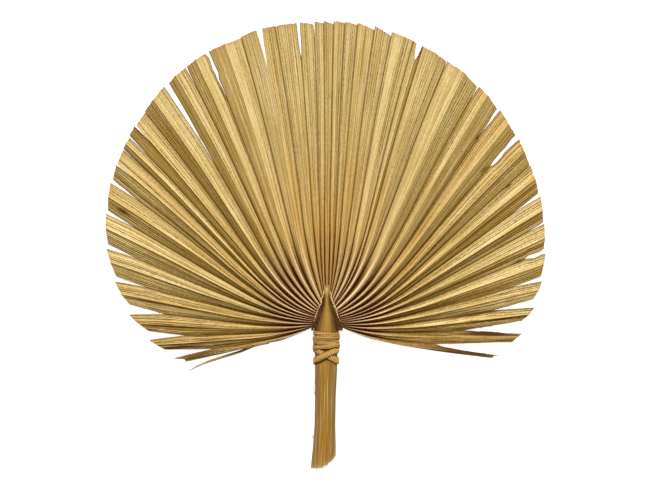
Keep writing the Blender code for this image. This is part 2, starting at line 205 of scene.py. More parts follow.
RIDGE_SHAPE = [(0.42, 0.08), (0.78, 0.33), (1.00, 0.75)]
BASE_SHAPE = [(1.00, 0.00), (0.97, 0.45), (0.82, 0.85), (0.60, 1.00)]
CUT_LOW_X = -8.0
CUT_HIGH_X = 8.8
CUT_RISE = 10.0
CUT_BLEND = 20.0
STALK_RINGS = 230
STALK_AROUND = 8
STALK_GIRTH = 52.0
STALK_ROUND = 0.35
STALK_RELIEF = 0.075
CUT_ROUGHNESS = 0.45
CUT_SHARES = (0.93, 0.84, 0.72, 0.58, 0.42, 0.26, 0.12)

# The lashing's turns: name, y of the middle, rise to the right flank, width, thickness, how
# much thicker over the upper and the lower crossing, strands across, their slant, rib height
TURNS = [
    ("lashing_band_top", -73.3, -0.5, 4.0, 1.25, 0.0, 0.0, 3, 1, 0.05),
    ("lashing_band_second", -76.5, 0.7, 4.3, 1.75, 0.0, 0.0, 3, -1, 0.05),
    ("lashing_band_third", -80.0, -0.3, 4.6, 1.45, 0.0, 0.0, 4, 1, 0.06),
    ("lashing_band_fourth", -83.6, 0.9, 4.9, 1.85, 0.0, 0.0, 4, 2, 0.06),
    ("lashing_cross_over", -90.4, 4.9, 6.4, 1.30, 1.25, 0.0, 0, 0, 0.52),
    ("lashing_cross_under", -90.4, -4.9, 6.2, 1.30, 0.0, 1.05, 0, 0, 0.48),
]
RIB_PITCH = 1.9
LASHING_GIRTH = 52.0
LASHING_GAP = 0.36
CROSSING_REACH = 0.75
TURN_STATIONS, TURN_TOP, TURN_UNDER = 210, 22, 7
STRAND_GROOVE = 0.44

# Collar and recess at the root line: shares of the roots that the collar covers, its height,
# and where along the stalk the recess starts and ends and how deep it goes
COLLAR_REACH = (0.02, 0.70)
COLLAR_HEIGHT = 9.0
RECESS_ENDS = (-70.6, -43.5)
RECESS_DEPTH = 1.5

# Paths of the loose strand beyond the blade, and of the stalk's peelings after their width
LOOSE_STRAND = [(-70.0, -88.3, 4.4), (-84.9, -93.0, 4.2), (-100.5, -98.2, 4.4),
                (-111.4, -103.8, 5.2)]
PEELINGS = [
    (0.32, [(-10.4, -100.5, 7.6), (-10.6, -103.5, 8.0), (-9.6, -107.5, 7.4), (-8.5, -112.0, 6.4),
            (-7.9, -117.0, 6.0)]),
    (0.6, [(-8.9, -113.0, 6.8), (-9.3, -117.0, 7.3), (-8.8, -121.0, 6.8), (-7.7, -125.0, 5.9)]),
    (0.8, [(-9.4, -155.5, 5.4), (-10.1, -157.2, 5.7), (-9.3, -159.4, 5.2)]),
    (0.5, [(-9.8, -178.0, 4.4), (-10.6, -181.5, 4.5), (-10.9, -183.6, 4.2)]),
]

# First numbers of the random draws of each kind
SEEDS = {"sway": 100, "slit": 400, "curl": 700, "vein": 900, "wander": 1100, "ripple": 1300,
         "fray": 1700, "bumps": 1900}

# Stage, in metres and degrees
TABLE_SIDES = 96
TABLE_RADII = (0.6, 3.0)
TABLE_LEVEL = -0.0001
TABLE_GREYS = ((0.28, 0.28, 0.28), (0.30, 0.30, 0.30))
TABLE_GLOW = 0.93
SKY_TINT = (1.0, 0.90, 0.66, 1.0)
SUN_SPREAD = 26.0
SENSOR_WIDTH = 36.0
VIEW_REACH = 20.0
VIEW_Y = 0.0012


def tint(red, green, blue):
    """A colour given as on screen, 0 to 255, as the linear values that shaders use."""
    values = [channel / 255.0 for channel in (red, green, blue)]
    return tuple(v / 12.92 if v <= 0.04045 else ((v + 0.055) / 1.055) ** 2.4 for v in values)


def smooth_noise(seed, count, knots, smooth=True):
    """Random values between -1 and 1 that change gently over this many knots."""
    draws = np.random.default_rng(seed).uniform(-1.0, 1.0, knots + 1)
    spots = np.linspace(0.0, knots, count)
    low = np.minimum(spots.astype(int), knots - 1)
    part = spots - low
    if smooth:
        part = part * part * (3.0 - 2.0 * part)
    return draws[low] * (1.0 - part) + draws[low + 1] * part


def colour_property(name, description, *screen):
    """A colour that a user may change, given as on screen."""
    return bpy.props.FloatVectorProperty(
        name=name, description=description, default=tint(*screen), size=3, min=0.0, max=1.0,
        subtype="COLOR",
    )


def length_property(name, description, default, low, high):
    """A length that a user may change."""
    return bpy.props.FloatProperty(
        name=name, description=description, default=default, min=low, max=high,
        unit="LENGTH", subtype="DISTANCE",
    )


class PALM_PG_shape(bpy.types.PropertyGroup):
    """Sizes of the leaf."""

    rim_slope: bpy.props.FloatProperty(
        name="Rim Pleat Slope", description="Rise over run of the pleats at the rim",
        default=0.34, min=0.1, max=1.2,
    )
    hub_slope: bpy.props.FloatProperty(
        name="Hub Pleat Slope", description="Rise over run of the pleats near the hub",
        default=1.45, min=0.2, max=2.5,
    )
    thickness: length_property(
        "Blade Thickness", "Thickness of the dried blade", 0.00052, 0.0002, 0.001)
    vein_pitch: length_property(
        "Vein Pitch", "Distance between side veins at the rim", 0.0021, 0.001, 0.006)
    furrow_depth: length_property(
        "Furrow Depth", "Depth of the furrows between side veins", 0.0006, 0.0, 0.0012)
    crease_height: length_property(
        "Crease Height", "Height of the shrunken creases within a pleat", 0.00052, 0.0, 0.001)
    fray: length_property(
        "Rim Fray", "How uneven the trimmed rim is", 0.0004, 0.0, 0.002)


class PALM_PG_finish(bpy.types.PropertyGroup):
    """Colours of the leaf and the lashing."""

    straw_light: colour_property("Light Straw", "Palest colour of the blade", 219, 198, 145)
    straw_deep: colour_property("Deep Straw", "Darker fibres of the blade", 170, 137, 63)
    straw_olive: colour_property("Olive Straw", "Greener strips of the blade", 178, 150, 74)
    straw_pink: colour_property("Tan Straw", "Browner strips of the blade", 190, 152, 98)
    straw_warm: colour_property("Warm Straw", "Inner half of the blade", 202, 143, 46)
    # Groove Brown: a real stain near the hub, also used for painted shade in the folds
    groove: colour_property("Groove Brown", "Stain and painted shade in the folds near the hub", 68, 29, 0)
    straw_pale: colour_property("Pale Ridges", "Ridges of the pleats near the hub", 236, 203, 160)
    furrow_olive: colour_property("Furrow Olive", "Thin lines of the blade", 86, 58, 0)
    # Painted shade: this darker straw is laid over the pleat sides turned away from the key light
    straw_shade: colour_property("Painted Shade Straw", "Pleat sides turned to the stalk", 148, 115, 38)
    cut_edge: colour_property("Cut Edge", "Colour of the trimmed rim", 160, 116, 72)
    aged_brown: colour_property("Aged Brown", "Streaks of the lowest strips", 78, 48, 10)
    costa_brown: colour_property("Costa Brown", "Packed folds above the stalk", 186, 122, 56)
    stalk_ochre: colour_property("Stalk Ochre", "Middle of the stalk", 142, 101, 21)
    stalk_olive: colour_property("Stalk Olive", "Flanks of the stalk", 123, 91, 46)
    # Stalk Brown: real stains at the cut and in specks, also painted shade on the flanks of the
    # stalk's tip
    stalk_dark: colour_property("Stalk Brown", "Stains and painted shade of the stalk's tip", 56, 30, 8)
    lashing_light: colour_property("Lashing Tan", "Raised strands of the lashing", 176, 139, 80)
    # Lashing Brown: painted shade in the hollows of the lashing
    lashing_deep: colour_property("Lashing Brown", "Hollows of the lashing", 74, 34, 0)


class PALM_PG_stage(bpy.types.PropertyGroup):
    """The table, the light and the camera."""

    camera_distance: length_property(
        "Camera Distance", "Height of the camera above the leaf", 2.0, 0.5, 6.0)
    frame_width: length_property(
        "Frame Width", "Width of the view at the leaf", 0.5306, 0.2, 2.0)
    key_strength: bpy.props.FloatProperty(
        name="Key Light", description="Strength of the soft key light",
        default=5.86, min=0.0, max=20.0,
    )
    key_height: bpy.props.FloatProperty(
        name="Key Height", description="Angle of the key light above the table",
        default=math.radians(43.0), min=0.1, max=1.57, subtype="ANGLE",
    )
    fill_strength: bpy.props.FloatProperty(
        name="Fill Light", description="Strength of the even light from all around",
        default=0.33, min=0.0, max=5.0,
    )


def mesh_piece(name, points, faces, finish, node, marks=None, sharp=32.0):
    """A smooth mesh object from points in millimetres, riding on the leaf's body."""
    mesh = bpy.data.meshes.new(name)
    points = np.array(points, dtype=float)
    points[:, 2] = np.maximum(points[:, 2], 0.0)
    mesh.from_pydata((points * MM).tolist(), [], np.asarray(faces).tolist()
                     if isinstance(faces, np.ndarray) else faces)
    for label, values in (marks or {}).items():
        layer = mesh.attributes.new(label, "FLOAT_VECTOR", "POINT")
        layer.data.foreach_set("vector", np.asarray(values, dtype=np.float32).ravel())
    mesh.materials.append(finish)
    mesh.shade_smooth()
    mesh.set_sharp_from_angle(angle=math.radians(sharp))
    piece = bpy.data.objects.new(name, mesh)
    bpy.context.scene.collection.objects.link(piece)
    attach(piece, "root")
    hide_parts(node)
    return piece


def rings_to_faces(rings, around):
    """Quads between rings of equally many points, with a fan over each end."""
    faces = []
    for r in range(rings - 1):
        for i in range(around):
            a, b = r * around + i, r * around + (i + 1) % around
            faces.append((a, b, b + around, a + around))
    faces.append(tuple(reversed(range(around))))
    faces.append(tuple(range((rings - 1) * around, rings * around)))
    return faces


def fibre_tube(path, widths, heights, around=6):
    """Points and faces of a tapering flat fibre along a path."""
    path = np.array(path, dtype=float)
    along = np.gradient(path, axis=0)
    along /= np.linalg.norm(along, axis=1)[:, None]
    side = np.cross(along, (0.0, 0.0, 1.0))
    side /= np.maximum(np.linalg.norm(side, axis=1), 1e-6)[:, None]
    up = np.cross(side, along)
    turn = np.linspace(0.0, 2.0 * math.pi, around, endpoint=False)
    ring = (
        path[:, None, :]
        + 0.5 * np.asarray(widths)[:, None, None] * np.cos(turn)[None, :, None] * side[:, None, :]
        - 0.5 * np.asarray(heights)[:, None, None] * np.sin(turn)[None, :, None] * up[:, None, :]
    )
    return ring.reshape(-1, 3), rings_to_faces(len(path), around)


def spline(a, b, c, d, t):
    """The smooth curve from b to c at t, with a and d as their neighbours."""
    return 0.5 * (2 * b + (c - a) * t + (2 * a - 5 * b + 4 * c - d) * t**2
                  + (3 * b - a - 3 * c + d) * t**3)


def curve_through(knots, count):
    """A smooth path through these points, evenly stepped."""
    knots = np.array(knots, dtype=float)
    ends = np.vstack([2 * knots[0] - knots[1], knots, 2 * knots[-1] - knots[-2]])
    spots = np.linspace(0.0, len(knots) - 1 - 1e-9, count)
    low = spots.astype(int)
    t = (spots - low)[:, None]
    return spline(ends[low], ends[low + 1], ends[low + 2], ends[low + 3], t)


def triples(first, second, third):
    """Three values for each point, as rows."""
    return np.stack(np.broadcast_arrays(first, second, third), axis=-1).reshape(-1, 3)


class Bundle:
    """Several small closed forms gathered into one piece."""

    def __init__(self):
        self.points, self.faces, self.grain, self.form = [], [], [], []
        self.count = 0

    def add(self, points, faces, grain, form):
        points = np.asarray(points)
        self.points.append(points)
        self.faces += [tuple(i + self.count for i in face) for face in faces]
        self.grain.append(np.broadcast_to(grain, points.shape))
        self.form.append(np.broadcast_to(form, points.shape))
        self.count += len(points)

    def fibre(self, path, widths, heights, tone=0.0, cut=0.0, around=6):
        points, faces = fibre_tube(path, widths, heights, around)
        grain = np.zeros_like(points)
        grain[:, 0] = np.tile(np.arange(around) * 0.4, len(path)) + 37.0 * tone
        grain[:, 1] = np.repeat(np.arange(len(path)), around)
        grain[:, 2] = tone
        self.add(points, faces, grain, (0.8, cut, tone))

    def piece(self, name, finish, slot, node):
        marks = {"grain": np.vstack(self.grain), "form": np.vstack(self.form)}
        return mesh_piece(name, np.vstack(self.points), self.faces, finish, node, marks)


def rim_point(angle):
    """Where a fold of this angle meets the trimmed rim."""
    angles, radii = zip(*RIM_RADII)
    radius = np.interp(angle, angles, radii)
    turn = math.radians(angle)
    return np.array(RIM_CENTRE) + radius * np.array([math.sin(turn), math.cos(turn)])


def half_share(angle):
    """How far out in its half of the blade a fold lies, from 0 to 1."""
    reach = MID_ANGLE - SEGMENTS[0][0] if angle < MID_ANGLE else LAST_EDGE - MID_ANGLE
    return abs(angle - MID_ANGLE) / reach


def root_of(angle):
    """A fold's root point and its outward direction there."""
    side = -1.0 if angle < MID_ANGLE else 1.0
    share = half_share(angle)
    shares, outs, heights, turns = zip(*ROOTS)
    turn = math.radians(np.interp(share, shares, turns))
    out, height = np.interp(share, shares, outs), np.interp(share, shares, heights)
    root = np.array([STALK_X + side * out, height])
    return root, np.array([side * math.sin(turn), math.cos(turn)])


def fold_points(angle, steps):
    """Points of one fold in plan, at these steps from 0 at the rim to 1 at the root."""
    rim = rim_point(angle)
    root, direction = root_of(angle)
    lean = math.sin(math.radians(min(90.0, AIM_TURN * max(0.0, angle))))
    aim = (1.0 - lean) * np.array(AIM_LEFT) + lean * np.array(AIM_RIGHT)
    near = rim + AIM_SHARE * (aim - rim)
    far = root + BEND_SHARE * np.linalg.norm(rim - root) * direction
    step = np.asarray(steps)[:, None]
    rest = 1.0 - step
    return rest**3 * rim + 3 * rest**2 * step * near + 3 * rest * step**2 * far + step**3 * root


def root_inset(angle):
    """The hidden end of a fold, sunk into the stalk or just past the root."""
    root, direction = root_of(angle)
    inward = np.array([(STALK_X - root[0]) * INSET_SHARE, -INSET_DROP])
    free = max(0.0, (half_share(angle) - FREE_SHARE) / (1.0 - FREE_SHARE))
    return root + (1.0 - free) * inward - free * FREE_RUN * direction


def fold_rows():
    """Every fold, left to right: angle, +1 on a midrib or -1 in a valley, its slit and step."""
    rows = []
    for valley, midrib, depth, width, step in SEGMENTS:
        rows.append((valley, -1.0, depth, width, step))
        rows.append((midrib, 1.0, *MIDRIB_SLITS.get(midrib, (0.0, 0.0)), 0.0))
    rows.append((LAST_EDGE, -1.0, 0.0, 0.0, 0.0))
    return rows


class Folds:
    """The blade's folds as fine lines: plan, heights, and how its slits open them."""

    def __init__(self, shape):
        self.rows = fold_rows()
        number, count = len(self.rows), ALONG + 2
        steps = np.linspace(0.0, 1.0, ALONG + 1)
        self.plan = np.zeros((number, count, 2))
        self.along = np.zeros((number, count, 2))
        self.run = np.zeros((number, count))
        self.open = np.zeros((number, count))
        self.ends = np.zeros(number, dtype=int)
        self.inward = np.ones(count)
        self.inward[:-1] = steps
        for j, (angle, _, depth, width, _) in enumerate(self.rows):
            points = np.vstack([fold_points(angle, steps), root_inset(angle)])
            along = np.gradient(points, axis=0)
            along /= np.linalg.norm(along, axis=1)[:, None]
            square = np.stack([along[:, 1], -along[:, 0]], axis=1)
            sway = smooth_noise(SEEDS["sway"] + j, count, 7) * np.sin(np.pi * self.inward) ** 1.5
            points = points + FOLD_SWAY * square * sway[:, None]
            if j == 0:
                lift = np.interp(
                    self.inward, [0.0, 0.12, 0.3, 0.45, 0.65], [0.0, 0.7, 1.4, 1.1, 0.0])
                points = points - lift[:, None] * square
            self.plan[j], self.along[j] = points, along
            lengths = np.linalg.norm(np.diff(points, axis=0), axis=1)
            self.run[j, 1:] = np.cumsum(lengths)
            if depth:
                self.ends[j] = int(np.count_nonzero(self.run[j] < depth))
            if width:
                shares, openings = zip(*SLIT_SHAPES.get(angle, [(0.0, 1.0), (1.0, 0.0)]))
                self.open[j] = np.interp(self.run[j] / depth, shares, openings)
        self.square = np.stack([self.along[..., 1], -self.along[..., 0]], axis=-1)
        self.height, self.slope = self.levels(shape)

    def levels(self, shape):
        """Heights of the folds: valleys and midribs swing about the blade's own course."""
        square = 0.5 * (self.square[1:] + self.square[:-1])
        gaps = np.abs(np.sum(np.diff(self.plan, axis=0) * square, axis=2))
        pitch = 0.5 * (np.vstack([gaps[:1], gaps]) + np.vstack([gaps, gaps[-1:]]))
        slopes = [shape.rim_slope, 0.42, 0.60, 0.90, shape.hub_slope, 0.8 * shape.hub_slope]
        steepness = np.interp(self.inward, [0.0, 0.12, 0.32, 0.6, 0.84, 1.0], slopes)
        signs = np.array([row[1] for row in self.rows])[:, None]
        angles = np.array([row[0] for row in self.rows])[:, None]
        shares = [FLAT_TOP, 0.5 + 0.5 * FLAT_TOP, 1.05]
        flat = np.interp(np.abs(angles - 4.0), [12.0, 30.0, 55.0], shares)
        calm = 1.0 - 0.32 * (1.0 - flat) / (1.0 - FLAT_TOP) * np.sin(np.pi * self.inward) ** 2
        steepness = steepness * (flat + (1.0 - flat) * self.inward**2) * np.minimum(calm, 1.0)
        low_strip = np.clip((np.abs(angles) - 82.0) / 18.0, 0.0, 1.0)
        steepness = steepness * (1.0 - 0.45 * low_strip * (1.0 - self.inward) ** 3)
        lift = RIM_LIFT * 0.5 * (1.0 - np.cos(np.radians(2.0 * (np.abs(angles) - LOW_ANGLE))))
        outward = 1.0 - self.inward
        turned = np.where(angles == TWISTED_RIB, 1.7 * np.clip(2.4 * outward - 0.6, 0.0, 1.0), 0.0)
        signs = signs * (1.0 - turned)
        height = HUB_HEIGHT + (RIM_HEIGHT + lift - HUB_HEIGHT) * outward
        height = height + signs * 0.5 * steepness * pitch
        height[:, -1] = HUB_HEIGHT
        low = height - 0.5 * shape.thickness / MM * np.sqrt(1.0 + steepness**2)
        share = np.minimum(1.0, np.abs(angles) / LEVEL_ANGLE) * outward
        for half in (angles[:, 0] < MID_ANGLE, angles[:, 0] > MID_ANGLE):
            height[half] -= (low[half, 0] / share[half, 0]).min() * share[half]
        return height, np.broadcast_to(steepness, height.shape)

    def edge(self, j, side):
        """Plan and height of the edge that a panel has on fold j: side 0 before it, 1 after."""
        angle, sign, depth, width, step = self.rows[j]
        turned = 1.0 if side == 0 else -1.0
        opening = 0.5 * width * self.open[j]
        if side == 1 and angle in ONE_SIDED_SLITS:
            share = self.run[j] / depth
            swell = np.interp(share, [0.0, 0.6, 0.9, 1.0], [0.2, 1.0, 0.85, 0.0])
            opening = opening + ONE_SIDED_SLITS[angle] * swell
        rough = ROUGH_SLITS.get(angle, 0.09) if width else 0.0
        rough = rough * smooth_noise(SEEDS["slit"] + 2 * j + side, ALONG + 2, 70, False)
        fading = (self.open[j] > 0.0) * np.minimum(1.0, 3 * self.open[j])
        opening = np.maximum(0.0, opening + rough * fading)
        plan = self.plan[j] + turned * self.square[j] * opening[:, None]
        pull = step if side == 0 else 0.0
        if sign > 0:
            pull = MIDRIB_PULL * self.rows[j + 1][4]
        if pull:
            pulled = pull * np.maximum(0.0, 1.0 - self.run[j] / STEP_REACH)
            plan = plan + pulled[:, None] * self.along[j]
        curl = SLIT_CURL * np.random.default_rng(SEEDS["curl"] + 2 * j + side).uniform(-0.35, 1.0)
        return plan, self.height[j] + curl * self.open[j] * min(1.0, width)


def bruise_at(plan, along):
    """How dark the blade's scars are at these points, from 0 to 1."""
    dark = np.zeros(plan.shape[:2])
    for x, y, length, width, strength in BRUISES:
        away = plan - np.array([x, y])
        lengthways = np.sum(away * along, axis=2) / length
        sideways = (away[..., 0] * along[..., 1] - away[..., 1] * along[..., 0]) / width
        away = np.hypot(lengthways, sideways)
        dark = np.maximum(dark, strength * np.clip(1.5 - 1.5 * away, 0.0, 1.0))
    return dark


def blade_part(folds, shape, first, last):
    """Points, quads and marks of the blade between two valleys."""
    count = ALONG + 2
    start = next(j for j, row in enumerate(folds.rows) if row[0] == first)
    stop = next(j for j, row in enumerate(folds.rows) if row[0] == last)
    thickness, furrow_depth = shape.thickness / MM, shape.furrow_depth / MM
    points, quads, grain, form, lines, wear, thick = [], [], [], [], [], [], []
    total, before = 0, None
    inward, outward = folds.inward, 1.0 - folds.inward
    for j in range(start, stop):
        left, left_height = folds.edge(j, 1)
        right, right_height = folds.edge(j + 1, 0)
        angle = folds.rows[j][0]
        width = math.radians(folds.rows[j + 1][0] - angle) * 180.0
        veins = max(1, round(width / (shape.vein_pitch / MM)))
        columns = VEIN_COLUMNS * veins
        u = np.linspace(0.0, 1.0, columns + 1)[:, None]
        rise = u if folds.rows[j][1] < 0 else 1.0 - u
        rises = folds.rows[j][1] < 0
        low, high = (left_height, right_height) if rises else (right_height, left_height)
        bow = 1.0 + 0.75 * inward**1.5
        relief = 1.0 - (1.0 - rise) ** bow
        height = low + (high - low) * relief
        fade = np.clip((1.0 - inward) * 6.0, 0.0, 1.0)
        draws = np.random.default_rng(SEEDS["vein"] + j)
        column_width = np.linalg.norm(right - left, axis=1) / columns
        furrow = np.zeros((columns + 1, count))
        for vein in range(VEIN_COLUMNS, columns, VEIN_COLUMNS):
            away = np.abs(np.arange(columns + 1) - vein)[:, None] * column_width
            wander = 0.6 + 0.4 * smooth_noise(SEEDS["wander"] + 50 * j + vein, count, 9)
            ends = draws.choice([0.4, 0.55, 0.7, 0.95], p=[0.3, 0.25, 0.25, 0.2])
            lasting = np.clip((ends - inward) / 0.18, 0.0, 1.0)
            strength = draws.choice([0.25, 0.6, 1.0], p=[0.3, 0.3, 0.4])
            strength = strength * (0.4 + 0.6 * wander) * lasting
            half = FURROW_HALF
            if abs(angle) > 64.0 and vein == 2 * VEIN_COLUMNS:
                strength = (0.7 + 0.3 * wander) * np.clip((0.85 - inward) / 0.3, 0.0, 1.0)
                half = 0.7
            furrow = np.maximum(furrow, np.clip(1.0 - away / half, 0.0, 1.0) * strength)
        height = height - furrow_depth * furrow * (0.3 + 0.7 * outward)
        knots = max(2, round(width / 3.2))
        crease = draws.uniform(-1.0, 1.0, knots + 1) * np.where(np.arange(knots + 1) % 2, 1.0, -1.0)
        crease[[0, -1]] = 0.0
        crease = np.interp(u[:, 0], np.linspace(0.0, 1.0, knots + 1), crease)[:, None]
        reach = np.interp(inward, [0.0, 0.25, 0.6, 0.9], [1.0, 0.9, 0.4, 0.0])
        height = height + shape.crease_height / MM * crease * reach * (width > 3.0)
        ripple = smooth_noise(SEEDS["ripple"] + j, count, 18) * np.sin(np.pi * u) * 0.16 * fade
        height = height + ripple
        plan = left + (right - left) * u[:, :, None]
        rng = np.random.default_rng(SEEDS["fray"] + j)
        ragged = rng.uniform(0.0, 1.0, columns + 1) ** 2 * shape.fray / MM
        bumps = 0.75 * (0.5 + 0.5 * smooth_noise(SEEDS["bumps"] + j, columns + 1, 3))
        ragged = ragged + bumps * np.interp(abs(angle), [55.0, 75.0], [1.0, 0.35])
        if angle > 121.0:
            ragged = ragged * 9.0 + 2.2 * np.abs(np.sin(1.5 * np.pi * u[:, 0] + 0.5 * j))
        run = folds.run[j] + (folds.run[j + 1] - folds.run[j]) * u
        along = folds.along[j] + (folds.along[j + 1] - folds.along[j]) * u[:, :, None]
        pulled = ragged[:, None] * np.maximum(0.0, 1.0 - run / (3.0 + 4.0 * ragged[:, None]))
        plan = plan + pulled[:, :, None] * along
        index = total + np.arange((columns + 1) * count).reshape(columns + 1, count)
        if before is not None:
            index[0, folds.ends[j]:] = before[folds.ends[j]:]
        before = index[-1]
        total += (columns + 1) * count
        points.append(np.dstack([plan, height]).reshape(-1, 3))
        half_thick = 0.5 * thickness * np.sqrt(1.0 + folds.slope[j] ** 2)
        thick.append(np.broadcast_to(half_thick, run.shape).ravel())
        quads.append(np.stack([index[:-1, :-1], index[:-1, 1:], index[1:, 1:], index[1:, :-1]],
                              axis=-1).reshape(-1, 4))
        arc = math.radians(angle) * 180.0 + u * width
        edge = np.exp(-run / 1.6)
        tone = rng.uniform(-1.0, 1.0) - max(0.0, (abs(angle) - 104.0) / 30.0)
        grain.append(triples(arc, run, inward))
        form.append(triples(relief, edge, tone))
        from_valley = rise * np.linalg.norm(right - left, axis=1)
        from_crest = (1.0 - rise) * np.linalg.norm(right - left, axis=1)
        # Painted shade: fold marks a dark line along each valley and along each crest, stronger and
        # wider on the shaded side of the lower strips
        fold = np.clip(1.0 - from_valley / FOLD_HALF, 0.0, 1.0)
        facing = folds.rows[j][1] * (folds.square[j] @ np.array(LIT_SIDE))
        low_side = np.clip((abs(angle) - 45.0) / 25.0, 0.0, 1.0) * (facing > 0.0)
        crest_reach = FOLD_HALF * (0.75 + 0.4 * low_side)
        crest = np.clip(1.0 - from_crest / crest_reach, 0.0, 1.0)
        fold = np.maximum(fold, (0.4 + 0.45 * low_side) * crest)
        # Painted shade: shade is 1 on the pleat sides that face away from LIT_SIDE and 0 on the lit
        # ones; the leaf material tints the shaded sides darker
        shade = 0.5 + 0.5 * np.sign(facing) * np.clip((np.abs(facing) - 0.27) / 0.32, 0.05, 1.0)
        shade = shade * (1.0 - 0.65 * np.clip((abs(angle) - 82.0) / 25.0, 0.0, 1.0) * outward**3)
        if angle in TWISTED_PANELS:
            shade = shade + (1.0 - 2.0 * shade) * np.clip(2.4 * outward - 0.6, 0.0, 1.0)
        lines.append(triples(furrow, fold, shade))
        wear.append(triples(bruise_at(plan, along), 0.0, 0.0))
    used, quads = np.unique(np.vstack(quads), return_inverse=True)
    marks = {"grain": grain, "form": form, "lines": lines, "wear": wear}
    marks = {label: np.tile(np.vstack(values)[used], (2, 1)) for label, values in marks.items()}
    thick = np.concatenate(thick)[used]
    return *closed_sheet(np.vstack(points)[used], thick, quads.reshape(-1, 4)), marks


def closed_sheet(points, thick, quads):
    """Points and faces of a sheet of this half thickness, walled along its borders."""
    size = len(points)
    edges = np.vstack([quads[:, (i, (i + 1) % 4)] for i in range(4)])
    code = edges[:, 0].astype(np.int64) * size + edges[:, 1]
    twin = edges[:, 1].astype(np.int64) * size + edges[:, 0]
    border = edges[~np.isin(code, twin)]
    walls = np.stack([border[:, 1], border[:, 0], border[:, 0] + size, border[:, 1] + size], axis=1)
    up = np.zeros_like(points)
    up[:, 2] = thick
    faces = np.vstack([quads, quads[:, ::-1] + size, walls])
    return np.vstack([points + up, points - up]), faces


def stalk_values(y):
    """The stalk's centre, half-widths and heights at this y, smoothed over its rows."""
    rows = np.array(STALK)
    reach = np.array([-2.0, -1.0, 0.0, 1.0, 2.0])
    return [float(np.mean(np.interp(y + reach, rows[:, 0], column))) for column in rows.T[1:]]


def stalk_section(y, around=1):
    """The stalk's outline at this y, as (x, z) points, with this many to each corner."""
    centre, ridge, base, low, shoulder, high = stalk_values(y)
    rise, fall = high - shoulder, shoulder - low
    half = [(out * ridge, high - down * rise) for out, down in RIDGE_SHAPE]
    half += [(out * base, shoulder - down * fall) for out, down in BASE_SHAPE]
    corners = [(centre, high)] + [(centre - x, z) for x, z in half]
    corners += [(centre + x, z) for x, z in reversed(half)]
    corners = np.array(corners)
    if around == 1:
        return corners
    ring = []
    for i in range(len(corners)):
        a, b, c, d = (corners[(i + shift) % len(corners)] for shift in (-1, 0, 1, 2))
        for step in range(around):
            t = step / around
            curve, chord = spline(a, b, c, d, t), b + (c - b) * t
            ring.append(STALK_ROUND * curve + (1.0 - STALK_ROUND) * chord)
    return np.array(ring)


def cut_y(x):
    """The oblique, slightly hollow cut at the end of the stalk."""
    return STALK[0][0] + CUT_RISE * (np.maximum(0.0, x - CUT_LOW_X) / (CUT_HIGH_X - CUT_LOW_X)) ** 2


def stalk_mesh():
    """Points, faces and marks of the stalk, its tip and the costa."""
    start, end = STALK[0][0], STALK[-1][0]
    places = np.linspace(start, end, STALK_RINGS)
    rings, grains, forms = [], [], []
    around = len(stalk_section(0.0, STALK_AROUND))
    spots = np.arange(around)
    furrow = smooth_noise(11, around + 1, 46)[:-1] + 0.7 * smooth_noise(12, around + 1, 88)[:-1]
    for r, y in enumerate(places):
        section = stalk_section(y, STALK_AROUND)
        centre = np.array([stalk_values(y)[0], np.mean(section[:, 1])])
        out = section - centre
        out /= np.maximum(np.linalg.norm(out, axis=1), 1e-6)[:, None]
        size = min(1.0, (section[:, 0].max() - section[:, 0].min()) / 16.0)
        drift = 0.4 * smooth_noise(40 + r // 12, around + 1, 30)[:-1]
        section = section + out * (STALK_RELIEF * size * (furrow + drift))[:, None]
        x = section[:, 0]
        if y < start + CUT_BLEND:
            share = (y - start) / CUT_BLEND
            rough = CUT_ROUGHNESS * smooth_noise(77, around + 1, 44)[:-1] * (1.0 - share) ** 6
            ys = cut_y(x) + rough + share * (start + CUT_BLEND - cut_y(x))
        else:
            ys = np.full(around, y)
        rings.append(triples(x, ys, section[:, 1]))
        half = stalk_values(y)[1]
        grains.append(triples(STALK_GIRTH * spots / around, ys, spots / around))
        level = (x - centre[0]) / max(half, 0.5)
        near_cut = np.exp(-np.maximum(0.0, ys - cut_y(x)) / 1.3)
        if y >= start + CUT_BLEND:
            near_cut = 0.0
        forms.append(triples(level, near_cut, 0.0))
    # Cut face: rings that shrink to the pith, with torn fibre ends
    inner = []
    rim = rings[0]
    middle = rim.mean(axis=0)
    rng = np.random.default_rng(5)
    for share in CUT_SHARES:
        ring = middle + (rim - middle) * share
        torn = share**2 * rng.uniform(-CUT_ROUGHNESS, CUT_ROUGHNESS, around)
        ring[:, 1] = cut_y(ring[:, 0]) + 0.9 * (1.0 - share) * 0.6 + torn
        inner.append(ring)
    inner = inner[::-1]
    everything = inner + rings
    faces = rings_to_faces(len(everything), around)
    marks_grain = [triples(ring[:, 0] * 3.0, ring[:, 2] * 3.0, 0.0) for ring in inner]
    marks_form = [triples(0.0 * spots, 1.0, 1.0) for _ in inner]
    marks = {"grain": np.vstack(marks_grain + grains), "form": np.vstack(marks_form + forms)}
    return np.vstack(everything), faces, marks


def outward_at(outline, spot):
    """A point on a closed outline at this share of its corners, and its outward direction."""
    low = int(spot) % len(outline)
    part = spot - int(spot)
    step = outline[(low + 1) % len(outline)] - outline[low - 1]
    after = outline[(low + 2) % len(outline)] - outline[low]
    direction = step * (1.0 - part) + after * part
    direction /= np.linalg.norm(direction)
    point = outline[low] + part * (outline[(low + 1) % len(outline)] - outline[low])
    return point, np.array([direction[1], -direction[0]])


